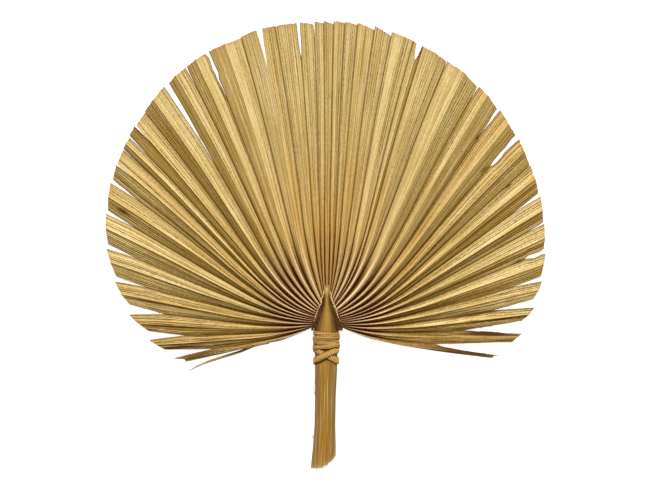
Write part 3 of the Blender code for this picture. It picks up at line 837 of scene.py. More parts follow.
def lashing_turn(turn):
    """Points, faces and marks of one turn: a flat bundle of strands that follows the stalk."""
    name, middle, rise, width, thick, over_front, over_back, strands, slant, rib = turn
    centre, _, base, _, shoulder, _ = stalk_values(middle)
    base_section = stalk_section(middle)
    stations, top, under = TURN_STATIONS, TURN_TOP, TURN_UNDER
    seed = sum(ord(letter) for letter in name)
    ribs = round(LASHING_GIRTH / RIB_PITCH)
    turns = 2.0 * math.pi * np.arange(stations) / stations
    sway = 0.6 * np.sin(2.0 * turns + seed) + 0.4 * np.sin(5.0 * turns + 2.0 * seed)
    swell = 0.6 * np.sin(3.0 * turns + seed) + 0.4 * np.sin(7.0 * turns + 3.0 * seed)
    rings, grains, forms = [], [], []
    run = 0.0
    last = None
    for s in range(stations):
        spot = s / stations * len(base_section)
        corner = int(spot)
        x = base_section[corner, 0] + (spot - corner) * (
            base_section[(corner + 1) % len(base_section), 0] - base_section[corner, 0])
        y = middle + rise * (x - centre) / base + 0.22 * sway[s]
        point, out = outward_at(stalk_section(y), spot)
        near_middle = max(0.0, 1.0 - (abs(x - centre) / (CROSSING_REACH * base)) ** 2)
        over = over_front if point[1] > shoulder else over_back
        body = thick + over * near_middle
        wide = width * (1.0 + 0.08 * swell[s])
        ring, grain, form = [], [], []
        for i in range(top):
            v = -1.0 + 2.0 * i / (top - 1)
            crown = (1.0 - abs(v) ** 2.6) ** 0.5
            wave = 0.5 + 0.5 * math.cos(math.pi * (strands * v + 2.0 * slant * s / stations))
            twist = 0.5 + 0.5 * math.cos(2.0 * math.pi * (ribs * s / stations + 0.75 * v))
            groove = STRAND_GROOVE * (1.0 - wave) ** 1.5 + rib * (1.0 - twist)
            bump = body * (0.12 + 0.88 * crown) - groove * crown
            place = point + out * (LASHING_GAP + bump)
            ring.append((place[0], y + 0.5 * v * wide, place[1]))
            grain.append((v * wide * 0.5, run, seed % 17))
            # Painted shade: the mark falls off towards the turn's edges and in the grooves between
            # strands, where the lashing material turns to its hollow brown
            raised = (wave + 4.0 * rib * twist) / (1.0 + 4.0 * rib)
            form.append(((1.0 - abs(v) ** 2.2) * (0.25 + 0.75 * raised), 0.0, sway[s]))
        for i in range(under):
            v = 1.0 - 2.0 * (i + 1) / (under + 1)
            place = point + out * LASHING_GAP
            ring.append((place[0], y + 0.5 * v * wide * 0.94, place[1]))
            grain.append((v * wide * 0.5, run, seed % 17))
            form.append((0.0, 0.0, 0.0))
        rings.append(ring)
        grains += grain
        forms += form
        here = np.array((point[0], point[1]))
        run += 0.0 if last is None else float(np.linalg.norm(here - last))
        last = here
    around = top + under
    faces = []
    for r in range(stations):
        a, b = r * around, (r + 1) % stations * around
        faces += [(a + i, b + i, b + (i + 1) % around, a + (i + 1) % around) for i in range(around)]
    marks = {"grain": np.array(grains), "form": np.array(forms)}
    return np.array(rings).reshape(-1, 3), faces, marks


class Nodes:
    """Short ways to add and link the nodes of one tree."""

    def __init__(self, tree):
        self.tree = tree

    def new(self, kind, **settings):
        node = self.tree.nodes.new(kind)
        for label, value in settings.items():
            setattr(node, label, value)
        return node

    def feed(self, socket, value):
        if isinstance(value, bpy.types.NodeSocket):
            self.tree.links.new(value, socket)
        elif socket.type == "RGBA":
            socket.default_value = (*value[:3], 1.0)
        else:
            socket.default_value = value

    def math(self, operation, first, second=0.0, third=0.0, clamp=False):
        node = self.new("ShaderNodeMath", operation=operation, use_clamp=clamp)
        for socket, value in zip(node.inputs, (first, second, third)):
            self.feed(socket, value)
        return node.outputs[0]

    def times(self, first, second, clamp=False):
        return self.math("MULTIPLY", first, second, clamp=clamp)

    def times_plus(self, value, factor, added, clamp=False):
        return self.math("MULTIPLY_ADD", value, factor, added, clamp)

    def paint(self, colour, mask, strength, tint):
        """Lays a tint over a colour, as strongly as the mask and this share say."""
        return self.mix(self.times(mask, strength), colour, tint)

    def streaks(self, grain, across, along, sharpness):
        return self.group(
            "Fibre Streaks", grain=grain, across=across, along=along, sharpness=sharpness)

    def dashes(self, grain, pitch, width, share):
        return self.group("Vein Dashes", grain=grain, pitch=pitch, width=width, share=share)["Mask"]

    def straw(self, colours, streak, tone, grain):
        return self.group(
            "Aged Tone", light=colours.straw_light, deep=colours.straw_deep,
            cool=colours.straw_olive, warm=colours.straw_pink,
            streak=streak, tone=tone, grain=grain)["Color"]

    def scaled(self, vector, factors):
        node = self.new("ShaderNodeVectorMath", operation="MULTIPLY")
        self.feed(node.inputs[0], vector)
        self.feed(node.inputs[1], factors)
        return node.outputs[0]

    def noise(self, vector, scale=1.0, detail=3.0, roughness=0.55, distortion=0.0):
        node = self.new("ShaderNodeTexNoise")
        for label, value in (("Vector", vector), ("Scale", scale), ("Detail", detail),
                             ("Roughness", roughness), ("Distortion", distortion)):
            self.feed(node.inputs[label], value)
        return node.outputs["Fac"]

    def remap(self, value, low, high, to_low=0.0, to_high=1.0):
        node = self.new("ShaderNodeMapRange", clamp=True, interpolation_type="SMOOTHSTEP")
        for label, item in (("Value", value), ("From Min", low), ("From Max", high),
                            ("To Min", to_low), ("To Max", to_high)):
            self.feed(node.inputs[label], item)
        return node.outputs["Result"]

    def mix(self, factor, first, second, blend="MIX"):
        node = self.new("ShaderNodeMix", data_type="RGBA", blend_type=blend)
        self.feed(node.inputs["Factor"], factor)
        self.feed(node.inputs[6], first)
        self.feed(node.inputs[7], second)
        return node.outputs[2]

    def parts(self, vector):
        node = self.new("ShaderNodeSeparateXYZ")
        self.feed(node.inputs[0], vector)
        return node.outputs

    def join(self, x, y, z):
        node = self.new("ShaderNodeCombineXYZ")
        for socket, value in zip(node.inputs, (x, y, z)):
            self.feed(socket, value)
        return node.outputs[0]

    def mark(self, name):
        return self.new("ShaderNodeAttribute", attribute_name=name).outputs["Vector"]

    def group(self, name, **values):
        node = self.new("ShaderNodeGroup")
        node.node_tree = bpy.data.node_groups[name]
        for label, value in values.items():
            self.feed(node.inputs[label.replace("_", " ").title()], value)
        return node.outputs


def new_group(name, inputs, outputs):
    """An empty shader node group with these named inputs and outputs."""
    tree = bpy.data.node_groups.new(name, "ShaderNodeTree")
    for label, kind, value in inputs:
        socket = tree.interface.new_socket(label, in_out="INPUT", socket_type=kind)
        if value is not None:
            socket.default_value = value
    for label, kind in outputs:
        tree.interface.new_socket(label, in_out="OUTPUT", socket_type=kind)
    given, out = tree.nodes.new("NodeGroupInput"), tree.nodes.new("NodeGroupOutput")
    return Nodes(tree), given.outputs, out.inputs


FLOAT, VECTOR, COLOUR = "NodeSocketFloat", "NodeSocketVector", "NodeSocketColor"


def make_fibre_group():
    """Streaks that run along the grain: a broad mask and a fine relief."""
    nodes, given, out = new_group(
        "Fibre Streaks",
        [("Grain", VECTOR, None), ("Across", FLOAT, 0.5), ("Along", FLOAT, 0.02),
         ("Sharpness", FLOAT, 0.2)],
        [("Mask", FLOAT), ("Height", FLOAT)],
    )
    stretched = nodes.scaled(given["Grain"], nodes.join(given["Across"], given["Along"], 3.1))
    broad = nodes.noise(stretched, 1.0, 4.0, 0.6, 0.15)
    low = nodes.math("SUBTRACT", 0.5, given["Sharpness"])
    high = nodes.math("ADD", 0.5, given["Sharpness"])
    nodes.feed(out["Mask"], nodes.remap(broad, low, high))
    fine = nodes.noise(nodes.scaled(stretched, (4.3, 1.7, 1.0)), 1.0, 3.0, 0.65)
    nodes.feed(out["Height"], nodes.times_plus(broad, 0.35, nodes.times(fine, 0.65)))


def make_speck_group():
    """Small dark specks and short scars, stretched along the grain."""
    nodes, given, out = new_group(
        "Dark Specks",
        [("Grain", VECTOR, None), ("Size", FLOAT, 0.4), ("Share", FLOAT, 0.1)],
        [("Mask", FLOAT)],
    )
    stretched = nodes.scaled(given["Grain"], (1.0, 0.45, 5.0))
    cells = nodes.new("ShaderNodeTexVoronoi", feature="F1")
    nodes.feed(cells.inputs["Vector"], stretched)
    nodes.feed(cells.inputs["Scale"], given["Size"])
    chosen = nodes.math("LESS_THAN", nodes.parts(cells.outputs["Color"])[0], given["Share"])
    dot = nodes.remap(cells.outputs["Distance"], 0.22, 0.08)
    nodes.feed(out["Mask"], nodes.times(dot, chosen))


def make_dash_group():
    """Thin dark lines along the veins, broken into dashes."""
    nodes, given, out = new_group(
        "Vein Dashes",
        [("Grain", VECTOR, None), ("Pitch", FLOAT, 2.3), ("Width", FLOAT, 0.08),
         ("Share", FLOAT, 0.5)],
        [("Mask", FLOAT)],
    )
    across, along, _ = nodes.parts(given["Grain"])
    drift = nodes.noise(nodes.join(nodes.times(across, 0.05), nodes.times(along, 0.01), 0.0))
    place = nodes.math("DIVIDE", across, given["Pitch"])
    place = nodes.math("ADD", place, nodes.times(drift, 0.8))
    away = nodes.math("ABSOLUTE", nodes.math("SUBTRACT", nodes.math("FRACT", place), 0.5))
    line = nodes.remap(away, given["Width"], 0.0)
    cell = nodes.math("FLOOR", place)
    spot = nodes.join(nodes.times(cell, 1.37), nodes.times(along, 0.02), 4.0)
    low, high = (nodes.math("SUBTRACT", edge, given["Share"]) for edge in (1.0, 1.06))
    chosen = nodes.remap(nodes.noise(spot, 1.0, 1.0), low, high)
    spot = nodes.join(nodes.times(cell, 2.7), nodes.times(along, 0.55), 9.0)
    stitch = nodes.noise(spot, 1.0, 1.0)
    dashes = nodes.remap(stitch, 0.42, 0.58)
    nodes.feed(out["Mask"], nodes.times(line, nodes.times(chosen, dashes)))


def make_tone_group():
    """Mixes a finish's colours by its streaks, its stains and each strip's own tone."""
    nodes, given, out = new_group(
        "Aged Tone",
        [(label, COLOUR, None) for label in ("Light", "Deep", "Cool", "Warm")]
        + [("Streak", FLOAT, 0.5), ("Tone", FLOAT, 0.0), ("Grain", VECTOR, None)],
        [("Color", COLOUR)],
    )
    straw = nodes.mix(given["Streak"], given["Deep"], given["Light"])
    cloud = nodes.noise(nodes.scaled(given["Grain"], (0.045, 0.018, 0.6)), 1.0, 2.0)
    lean = nodes.math("ADD", given["Tone"], nodes.times_plus(cloud, 3.0, -1.5))
    cool = nodes.mix(nodes.remap(lean, 0.2, 1.6, 0.0, 0.45), straw, given["Cool"])
    warm = nodes.remap(lean, -0.2, -1.6, 0.0, 0.35)
    nodes.feed(out["Color"], nodes.mix(warm, cool, given["Warm"]))


def new_material(name, specular):
    """An empty Principled material."""
    finish = bpy.data.materials.new(name)
    finish.use_nodes = True
    shader = finish.node_tree.nodes["Principled BSDF"]
    shader.inputs["Specular IOR Level"].default_value = specular
    return finish, Nodes(finish.node_tree), shader


def complete(nodes, shader, colour, gloss, rough, height, depth):
    """Colour, roughness between two values, and relief finer than the mesh, in millimetres."""
    nodes.feed(shader.inputs["Base Color"], colour)
    nodes.feed(shader.inputs["Roughness"], nodes.remap(gloss, 0.2, 0.8, *rough))
    bump = nodes.new("ShaderNodeBump")
    bump.inputs["Distance"].default_value = depth * MM
    nodes.feed(bump.inputs["Height"], height)
    nodes.feed(shader.inputs["Normal"], bump.outputs["Normal"])


def make_leaf_material(colours):
    """Dried blade: straw streaked along its veins, brown in the folds near the hub from a stain and
    painted shade, with painted shade in the valleys and on the pleat sides turned from the light.
    """
    finish, nodes, shader = new_material("dried_leaf", 0.05)
    grain, form = nodes.mark("grain"), nodes.mark("form")
    relief, cut, tone = nodes.parts(form)
    place, along, inward = nodes.parts(grain)
    streak = nodes.streaks(grain, 0.62, 0.012, 0.16)
    fine = nodes.streaks(grain, 2.4, 0.045, 0.2)
    blend = nodes.times_plus(streak["Mask"], 0.6, nodes.times(fine["Mask"], 0.4))
    across = nodes.math("ABSOLUTE", place)
    # Painted light: the straw is paler over the top of the blade, where the pleats face sideways to
    # the key light, and the painted shade there is weaker
    top = nodes.times(nodes.remap(across, 150.0, 30.0), nodes.remap(inward, 0.8, 0.45))
    blend = nodes.times_plus(tone, 0.22, blend)
    blend = nodes.times_plus(top, 0.14, nodes.math("ADD", blend, 0.09), clamp=True)
    colour = nodes.straw(colours, blend, tone, grain)
    middle = nodes.times(nodes.remap(across, 46.0, 10.0), nodes.remap(inward, 0.35, 0.8))
    warm = nodes.times(middle, nodes.remap(fine["Mask"], 0.2, 0.8, 0.15, 0.85))
    colour = nodes.mix(warm, colour, colours.costa_brown)
    warmth = nodes.remap(across, 60.0, 150.0, 0.32, 0.13)
    colour = nodes.paint(colour, nodes.remap(inward, 0.12, 0.55), warmth, colours.straw_warm)
    furrow, fold, shade = nodes.parts(nodes.mark("lines"))
    # Painted shade: the pleat sides turned away from the key light get the darker straw
    painted_shade = nodes.times(shade, nodes.remap(blend, 0.0, 1.0, 0.68, 0.40))
    colour = nodes.mix(painted_shade, colour, colours.straw_shade)
    # Painted shade in the valleys of the pleats, deepest near the hub, where the folds also carry a
    # real brown stain
    hollow = nodes.math("POWER", nodes.math("SUBTRACT", 1.0, relief, clamp=True), 3.0)
    depth = nodes.times(hollow, nodes.remap(inward, 0.0, 0.6, 0.30, 0.8))
    depth = nodes.times(depth, nodes.times_plus(top, -0.7, 1.0))
    near_hub = nodes.times(nodes.remap(relief, 0.95, 0.48), nodes.remap(inward, 0.46, 0.82))
    near_hub = nodes.times(near_hub, nodes.remap(across, 15.0, 95.0, 0.24, 1.0))
    depth = nodes.math("MAXIMUM", depth, nodes.times(near_hub, 0.96))
    ridge = nodes.times(nodes.remap(relief, 0.60, 0.92), nodes.remap(inward, 0.5, 0.85))
    ridge = nodes.times(ridge, nodes.remap(across, 10.0, 75.0, 0.2, 0.75))
    colour = nodes.mix(ridge, colour, colours.straw_pale)
    ink = nodes.mix(nodes.remap(inward, 0.45, 0.75), colours.furrow_olive, colours.groove)
    colour = nodes.mix(depth, colour, ink)
    stitch = nodes.noise(nodes.scaled(grain, (0.9, 0.42, 5.0)), 1.0, 2.0)
    dashes = nodes.remap(stitch, 0.36, 0.60, 0.45, 1.0)
    # Dark colour in the vein furrows, partly the veins' own and partly painted shade, stronger at
    # the sides of the blade where the furrows run across the key light
    side = nodes.remap(across, 70.0, 170.0)
    thin = nodes.times(furrow, nodes.times_plus(side, 0.45, 1.15), clamp=True)
    thin = nodes.times(thin, dashes)
    colour = nodes.paint(colour, thin, 0.88, ink)
    # Painted shade: dark lines along the valleys and the shaded side of the crests, weaker over the
    # top of the blade
    broken = nodes.remap(stitch, 0.3, 0.5, 0.72, 1.0)
    crease = nodes.times(nodes.times(fold, 2.2, clamp=True), broken)
    crease = nodes.times(crease, nodes.times_plus(top, -0.15, 0.92))
    colour = nodes.mix(crease, colour, ink)
    away = nodes.remap(inward, 0.85, 0.5)
    dash = nodes.dashes(grain, 3.4, 0.1, 0.5)
    low_strip = nodes.remap(across, 190.0, 330.0)
    colour = nodes.mix(nodes.times(dash, nodes.times_plus(low_strip, 0.25, 0.6)), colour, ink)
    vein = nodes.dashes(grain, 1.55, 0.22, 0.72)
    vein_depth = nodes.times(away, nodes.times_plus(nodes.math("ADD", low_strip, side), 0.14, 0.38))
    colour = nodes.mix(nodes.times(vein, vein_depth), colour, ink)
    sway = nodes.noise(nodes.scaled(grain, (0.03, 0.03, 1.0)), 1.0, 2.0)
    wavy = nodes.join(nodes.times_plus(sway, 5.0, place), nodes.times(along, 0.1), 0.0)
    tangle = nodes.dashes(wavy, 3.3, 0.27, 0.8)
    tangle = nodes.times(tangle, nodes.times(away, nodes.remap(across, 290.0, 345.0, 0.0, 0.9)))
    colour = nodes.mix(tangle, colour, ink)
    aged = nodes.times(nodes.remap(across, 372.0, 402.0), nodes.remap(inward, 0.8, 0.3))
    aged = nodes.times(aged, nodes.remap(fine["Height"], 0.58, 0.42, 0.15, 1.0))
    colour = nodes.paint(colour, aged, 0.75, colours.aged_brown)
    bruise = nodes.parts(nodes.mark("wear"))[0]
    torn = nodes.times(bruise, nodes.remap(fine["Height"], 0.62, 0.42, 0.6, 1.7), clamp=True)
    colour = nodes.mix(torn, colour, colours.aged_brown)
    dust = nodes.noise(nodes.scaled(grain, (1.5, 1.1, 0.0)), 1.0, 2.0, 0.7)
    colour = nodes.mix(nodes.remap(dust, 0.52, 0.85, 0.0, 0.32), colour, colours.groove)
    speck = nodes.group("Dark Specks", grain=grain, size=0.42, share=0.05)["Mask"]
    colour = nodes.paint(colour, speck, 0.65, colours.groove)
    rim = nodes.times(cut, nodes.remap(fine["Height"], 0.3, 0.7, 0.2, 0.6))
    colour = nodes.mix(rim, colour, colours.cut_edge)
    height = nodes.math("SUBTRACT", fine["Height"], nodes.times(nodes.math("ADD", dash, vein), 0.5))
    complete(nodes, shader, colour, fine["Height"], (0.5, 0.72), height, 0.22)
    return finish


def make_stalk_material(colours):
    """Stalk: ochre along its middle, grey olive streaks on its flanks, torn fibre at the cut."""
    finish, nodes, shader = new_material("stalk_rind", 0.14)
    grain, form = nodes.mark("grain"), nodes.mark("form")
    level, cut, _ = nodes.parts(form)
    streak = nodes.streaks(grain, 0.62, 0.006, 0.07)
    fine = nodes.streaks(grain, 2.2, 0.02, 0.14)
    drift = nodes.times_plus(streak["Height"], 0.5, -0.25)
    flank = nodes.math("ABSOLUTE", nodes.math("ADD", level, drift))
    half = nodes.mix(0.5, colours.stalk_olive, colours.stalk_ochre)
    side = nodes.mix(streak["Mask"], colours.stalk_olive, half)
    colour = nodes.mix(nodes.remap(flank, 0.10, 0.34), colours.stalk_ochre, side)
    for low, high, strength, tone in (
            (0.45, 0.0, 0.42, colours.stalk_dark), (0.7, 1.0, 0.3, colours.straw_light)):
        colour = nodes.paint(colour, nodes.remap(fine["Mask"], low, high), strength, tone)
    along = nodes.parts(grain)[1]
    # Painted shade: the flanks of the stalk's tip, between the lashing and the costa, darken
    # towards their edges
    tip = nodes.times(nodes.remap(along, -73.0, -70.0), nodes.remap(along, -34.0, -46.0))
    for low, high, most in ((0.28, 0.85, 0.58), (0.85, 1.08, 0.85)):
        side = nodes.remap(flank, low, high, 0.0, most)
        colour = nodes.paint(colour, tip, side, colours.stalk_dark)
    costa = nodes.remap(along, -44.0, -30.0)
    straw = nodes.mix(fine["Mask"], colours.straw_deep, colours.straw_light)
    colour = nodes.paint(colour, costa, 0.8, straw)
    speck = nodes.group("Dark Specks", grain=grain, size=0.5, share=0.07)["Mask"]
    colour = nodes.paint(colour, speck, 0.75, colours.stalk_dark)
    torn = nodes.noise(nodes.scaled(grain, (1.2, 1.2, 1.0)), 1.0, 4.0)
    torn = nodes.mix(torn, colours.stalk_dark, colours.straw_light)
    colour = nodes.paint(colour, cut, 0.8, torn)
    complete(nodes, shader, colour, streak["Height"], (0.38, 0.62), fine["Height"], 0.2)
    return finish


def make_tissue_material(colours):
    """Crumpled tissue at the root line: pale on its crests and dark in its hollows, the dark being
    painted shade.
    """
    finish, nodes, shader = new_material("root_tissue", 0.06)
    grain, form = nodes.mark("grain"), nodes.mark("form")
    relief, _, tone = nodes.parts(form)
    fine = nodes.streaks(grain, 1.1, 0.35, 0.2)
    pale = nodes.mix(fine["Mask"], colours.straw_deep, colours.straw_pale)
    dark = nodes.mix(nodes.times(fine["Mask"], 0.2), colours.stalk_dark, colours.stalk_olive)
    crest = nodes.math("ADD", relief, nodes.times(tone, 0.3))
    colour = nodes.mix(nodes.remap(crest, 0.1, 0.8), dark, pale)
    complete(nodes, shader, colour, fine["Height"], (0.55, 0.8), fine["Height"], 0.3)
    return finish


def make_fibre_material(colours):
    """Loose strands and torn fibres."""
    finish, nodes, shader = new_material("loose_fibre", 0.1)
    grain, form = nodes.mark("grain"), nodes.mark("form")
    _, cut, tone = nodes.parts(form)
    fine = nodes.streaks(grain, 1.6, 0.05, 0.2)
    colour = nodes.straw(colours, fine["Mask"], tone, grain)
    colour = nodes.paint(colour, cut, 0.8, colours.stalk_dark)
    complete(nodes, shader, colour, fine["Height"], (0.55, 0.75), fine["Height"], 0.12)
    return finish


def make_lashing_material(colours):
    """Lashing: split strands, pale where they are raised and dark in their grooves and towards the
    edges of each turn, as painted shade.
    """
    finish, nodes, shader = new_material("split_strand", 0.06)
    grain, form = nodes.mark("grain"), nodes.mark("form")
    relief = nodes.parts(form)[0]
    fine = nodes.streaks(grain, 2.2, 0.09, 0.2)
    raised = nodes.times_plus(fine["Mask"], 0.42, nodes.times(relief, 0.78))
    colour = nodes.mix(nodes.remap(raised, 0.24, 0.80), colours.lashing_deep, colours.lashing_light)
    cloud = nodes.noise(nodes.scaled(grain, (0.3, 0.12, 2.3)), 1.0, 2.0)
    colour = nodes.mix(nodes.remap(cloud, 0.5, 0.75, 0.0, 0.45), colour, colours.straw_deep)
    complete(nodes, shader, colour, fine["Height"], (0.45, 0.68), fine["Height"], 0.2)
    return finish


def make_table_material():
    """Plain pale table."""
    finish, nodes, shader = new_material("pale_table", 0.3)
    place = nodes.new("ShaderNodeTexCoord").outputs["Object"]
    cloud = nodes.noise(place, 3.0, 3.0)
    nodes.feed(shader.inputs["Base Color"], nodes.mix(cloud, *TABLE_GREYS))
    nodes.feed(shader.inputs["Roughness"], nodes.remap(cloud, 0.3, 0.7, 0.7, 0.8))
    shader.inputs["Emission Color"].default_value = (1.0, 1.0, 1.0, 1.0)
    shader.inputs["Emission Strength"].default_value = TABLE_GLOW
    return finish


def finish_named(name, make, *given):
    """The material of this name, made once."""
    return bpy.data.materials.get(name) or make(*given)


class PALM_OT_blade(bpy.types.Operator):
    """Build the pleated blade, in parts that meet at its slit valleys"""

    bl_idname = "palm.blade"
    bl_label = "Build Blade"

    def execute(self, context):
        shape = context.scene.palm_shape
        finish = finish_named("dried_leaf", make_leaf_material, context.scene.palm_finish)
        folds = Folds(shape)
        for name, first, last in BLADE_PARTS:
            points, faces, marks = blade_part(folds, shape, first, last)
            if not np.isfinite(points).all():
                raise RuntimeError("the blade's points aren't finite")
            mesh_piece(name, points, faces, finish, "palm_leaf", marks, sharp=38.0)
        return {"FINISHED"}


class PALM_OT_stalk(bpy.types.Operator):
    """Build the stalk with its tip, its costa and its torn cut"""

    bl_idname = "palm.stalk"
    bl_label = "Build Stalk"

    def execute(self, context):
        finish = finish_named("stalk_rind", make_stalk_material, context.scene.palm_finish)
        points, faces, marks = stalk_mesh()
        mesh_piece("stalk", points, faces, finish, "palm_leaf", marks)
        return {"FINISHED"}


class PALM_OT_root_line(bpy.types.Operator):
    """Build the crumpled collar on the root line and the tissue in the recess beside the stalk,
    darkened with painted shade
    """

    bl_idname = "palm.root_line"
    bl_label = "Build Root Line"

    def execute(self, context):
        finish = finish_named("root_tissue", make_tissue_material, context.scene.palm_finish)
        collar = Bundle()
        shares, outs, heights, _ = np.array(ROOTS).T
        for other, side in enumerate((-1.0, 1.0)):
            count, around = 130, 10
            steps = np.linspace(*COLLAR_REACH, count)
            wave = smooth_noise(21 + other, count, 42)
            swing = smooth_noise(27 + other, count, 30)
            x = STALK_X + side * (np.interp(steps, shares, outs) + 0.45 * swing)
            y = np.interp(steps, shares, heights) + 0.5 * wave
            path = triples(x, y, COLLAR_HEIGHT + 0.45 * wave - 1.4 * steps)
            taper = np.interp(steps, [0.02, 0.1, 0.4, 0.7], [0.8, 1.0, 0.8, 0.4])
            widths = taper * (0.95 + 0.4 * smooth_noise(23 + other, count, 30))
            points, faces = fibre_tube(path, widths, taper * (1.0 + 0.4 * wave), around)
            jitter = np.random.default_rng(31 + other)
            points = points + jitter.uniform(-0.14, 0.14, points.shape)
            grain = triples(np.tile(np.arange(around) * 0.5, count),
                            np.repeat(np.arange(count) * 0.5, around), 0.0)
            turned = np.tile(np.sin(np.linspace(0, 2 * math.pi, around, endpoint=False)), count)
            # Painted shade: each collar strand is paler on its top and darker on its underside
            form = triples(0.85 - 0.35 * turned, 0.0, np.repeat(swing, around))
            collar.add(points, faces, grain, form)
        collar.piece("root_collar", finish, "dry_leaf", "palm_leaf")
        recess = Bundle()
        for other, side in enumerate((-1.0, 1.0)):
            count, across = 110, 11
            ys = np.linspace(*RECESS_ENDS, count)
            rng = np.random.default_rng(61 + other)
            crumple = rng.uniform(0.0, 1.0, (count, across))
            lengthways = smooth_noise(63 + other, count + across * 3, 24)
            slanted = np.arange(count)[:, None] + 3 * np.arange(across)[None, :]
            fold = 0.5 + 0.5 * lengthways[slanted]
            level = 0.3 * crumple + 0.7 * fold
            inner = np.array([stalk_values(y)[1] for y in ys]) - 0.35
            outer = np.interp(ys, heights[::-1], outs[::-1]) + 0.2
            share = np.linspace(0.0, 1.0, across)[None, :]
            x = STALK_X + side * (inner[:, None] + (outer - inner)[:, None] * share)
            x = x + 0.12 * rng.uniform(-1.0, 1.0, x.shape)
            bowl = np.sin(np.pi * share)
            flank = []
            for y, row in zip(ys, x):
                _, ridge, base, _, shoulder, high = stalk_values(y)
                levels = [high - 0.75 * (high - shoulder), shoulder]
                flank.append(np.interp(np.abs(row - STALK_X), [ridge, base], levels))
            z = np.array(flank) + 0.25 + 0.75 * level - 0.5 * (1.0 - share) ** 8
            top = triples(x, ys[:, None] + 0.15 * rng.uniform(-1.0, 1.0, x.shape), z)
            low = top - np.array([0.0, 0.0, RECESS_DEPTH])
            index = np.arange(count * across).reshape(count, across)
            quads = [(index[r, i], index[r, i + 1], index[r + 1, i + 1], index[r + 1, i])
                     for r in range(count - 1) for i in range(across - 1)]
            if side < 0:
                quads = [tuple(reversed(quad)) for quad in quads]
            edges = {(a, b) for quad in quads for a, b in zip(quad, quad[1:] + quad[:1])}
            size = count * across
            walls = [(b, a, a + size, b + size) for a, b in sorted(edges) if (b, a) not in edges]
            under = [tuple(i + size for i in reversed(quad)) for quad in quads]
            faces = [tuple(int(i) for i in face) for face in quads + under + walls]
            grain = triples(x * 1.3, ys[:, None], 0.0)
            # Painted shade: the recess stays dark, paler only on the crumples' crests and at its
            # outer edge, darker in its middle and towards its lower end
            dark = 0.38 * level**2.4 - 0.05 * bowl + 0.25 * share**5
            dark = dark * (1.0 - 0.8 * np.clip((-55.0 - ys) / 9.0, 0.0, 1.0))[:, None]
            form = triples(dark, 0.0, level - 0.5)
            recess.add(np.vstack([top, low]), faces, np.tile(grain, (2, 1)), np.tile(form, (2, 1)))
        recess.piece("root_recess", finish, "dry_leaf", "palm_leaf")
        tissue = Bundle()
        for other, side in enumerate((-1.0, 1.0)):
            rng = np.random.default_rng(51 + other)
            for _ in range(18):
                x = STALK_X + side * rng.uniform(8.6, 11.4)
                y = rng.uniform(-71.2, -66.0)
                turn = rng.uniform(-0.9, 0.9)
                length = rng.uniform(0.9, 2.2)
                steps = np.linspace(-0.5, 0.5, 7)
                bend = rng.uniform(-0.5, 0.5)
                path = triples(
                    x + steps * length * math.sin(turn), y + steps * length * math.cos(turn),
                    7.2 + rng.uniform(-0.8, 1.1) + bend * np.cos(np.pi * steps))
                size = np.cos(np.pi * steps * 0.85)
                tissue.fibre(path, rng.uniform(0.5, 1.1) * size, rng.uniform(0.3, 0.7) * size,
                             tone=rng.uniform(-1.0, 0.6) - 1.2)
        tissue.piece("root_tissue_shreds", finish, "dry_leaf", "palm_leaf")
        return {"FINISHED"}


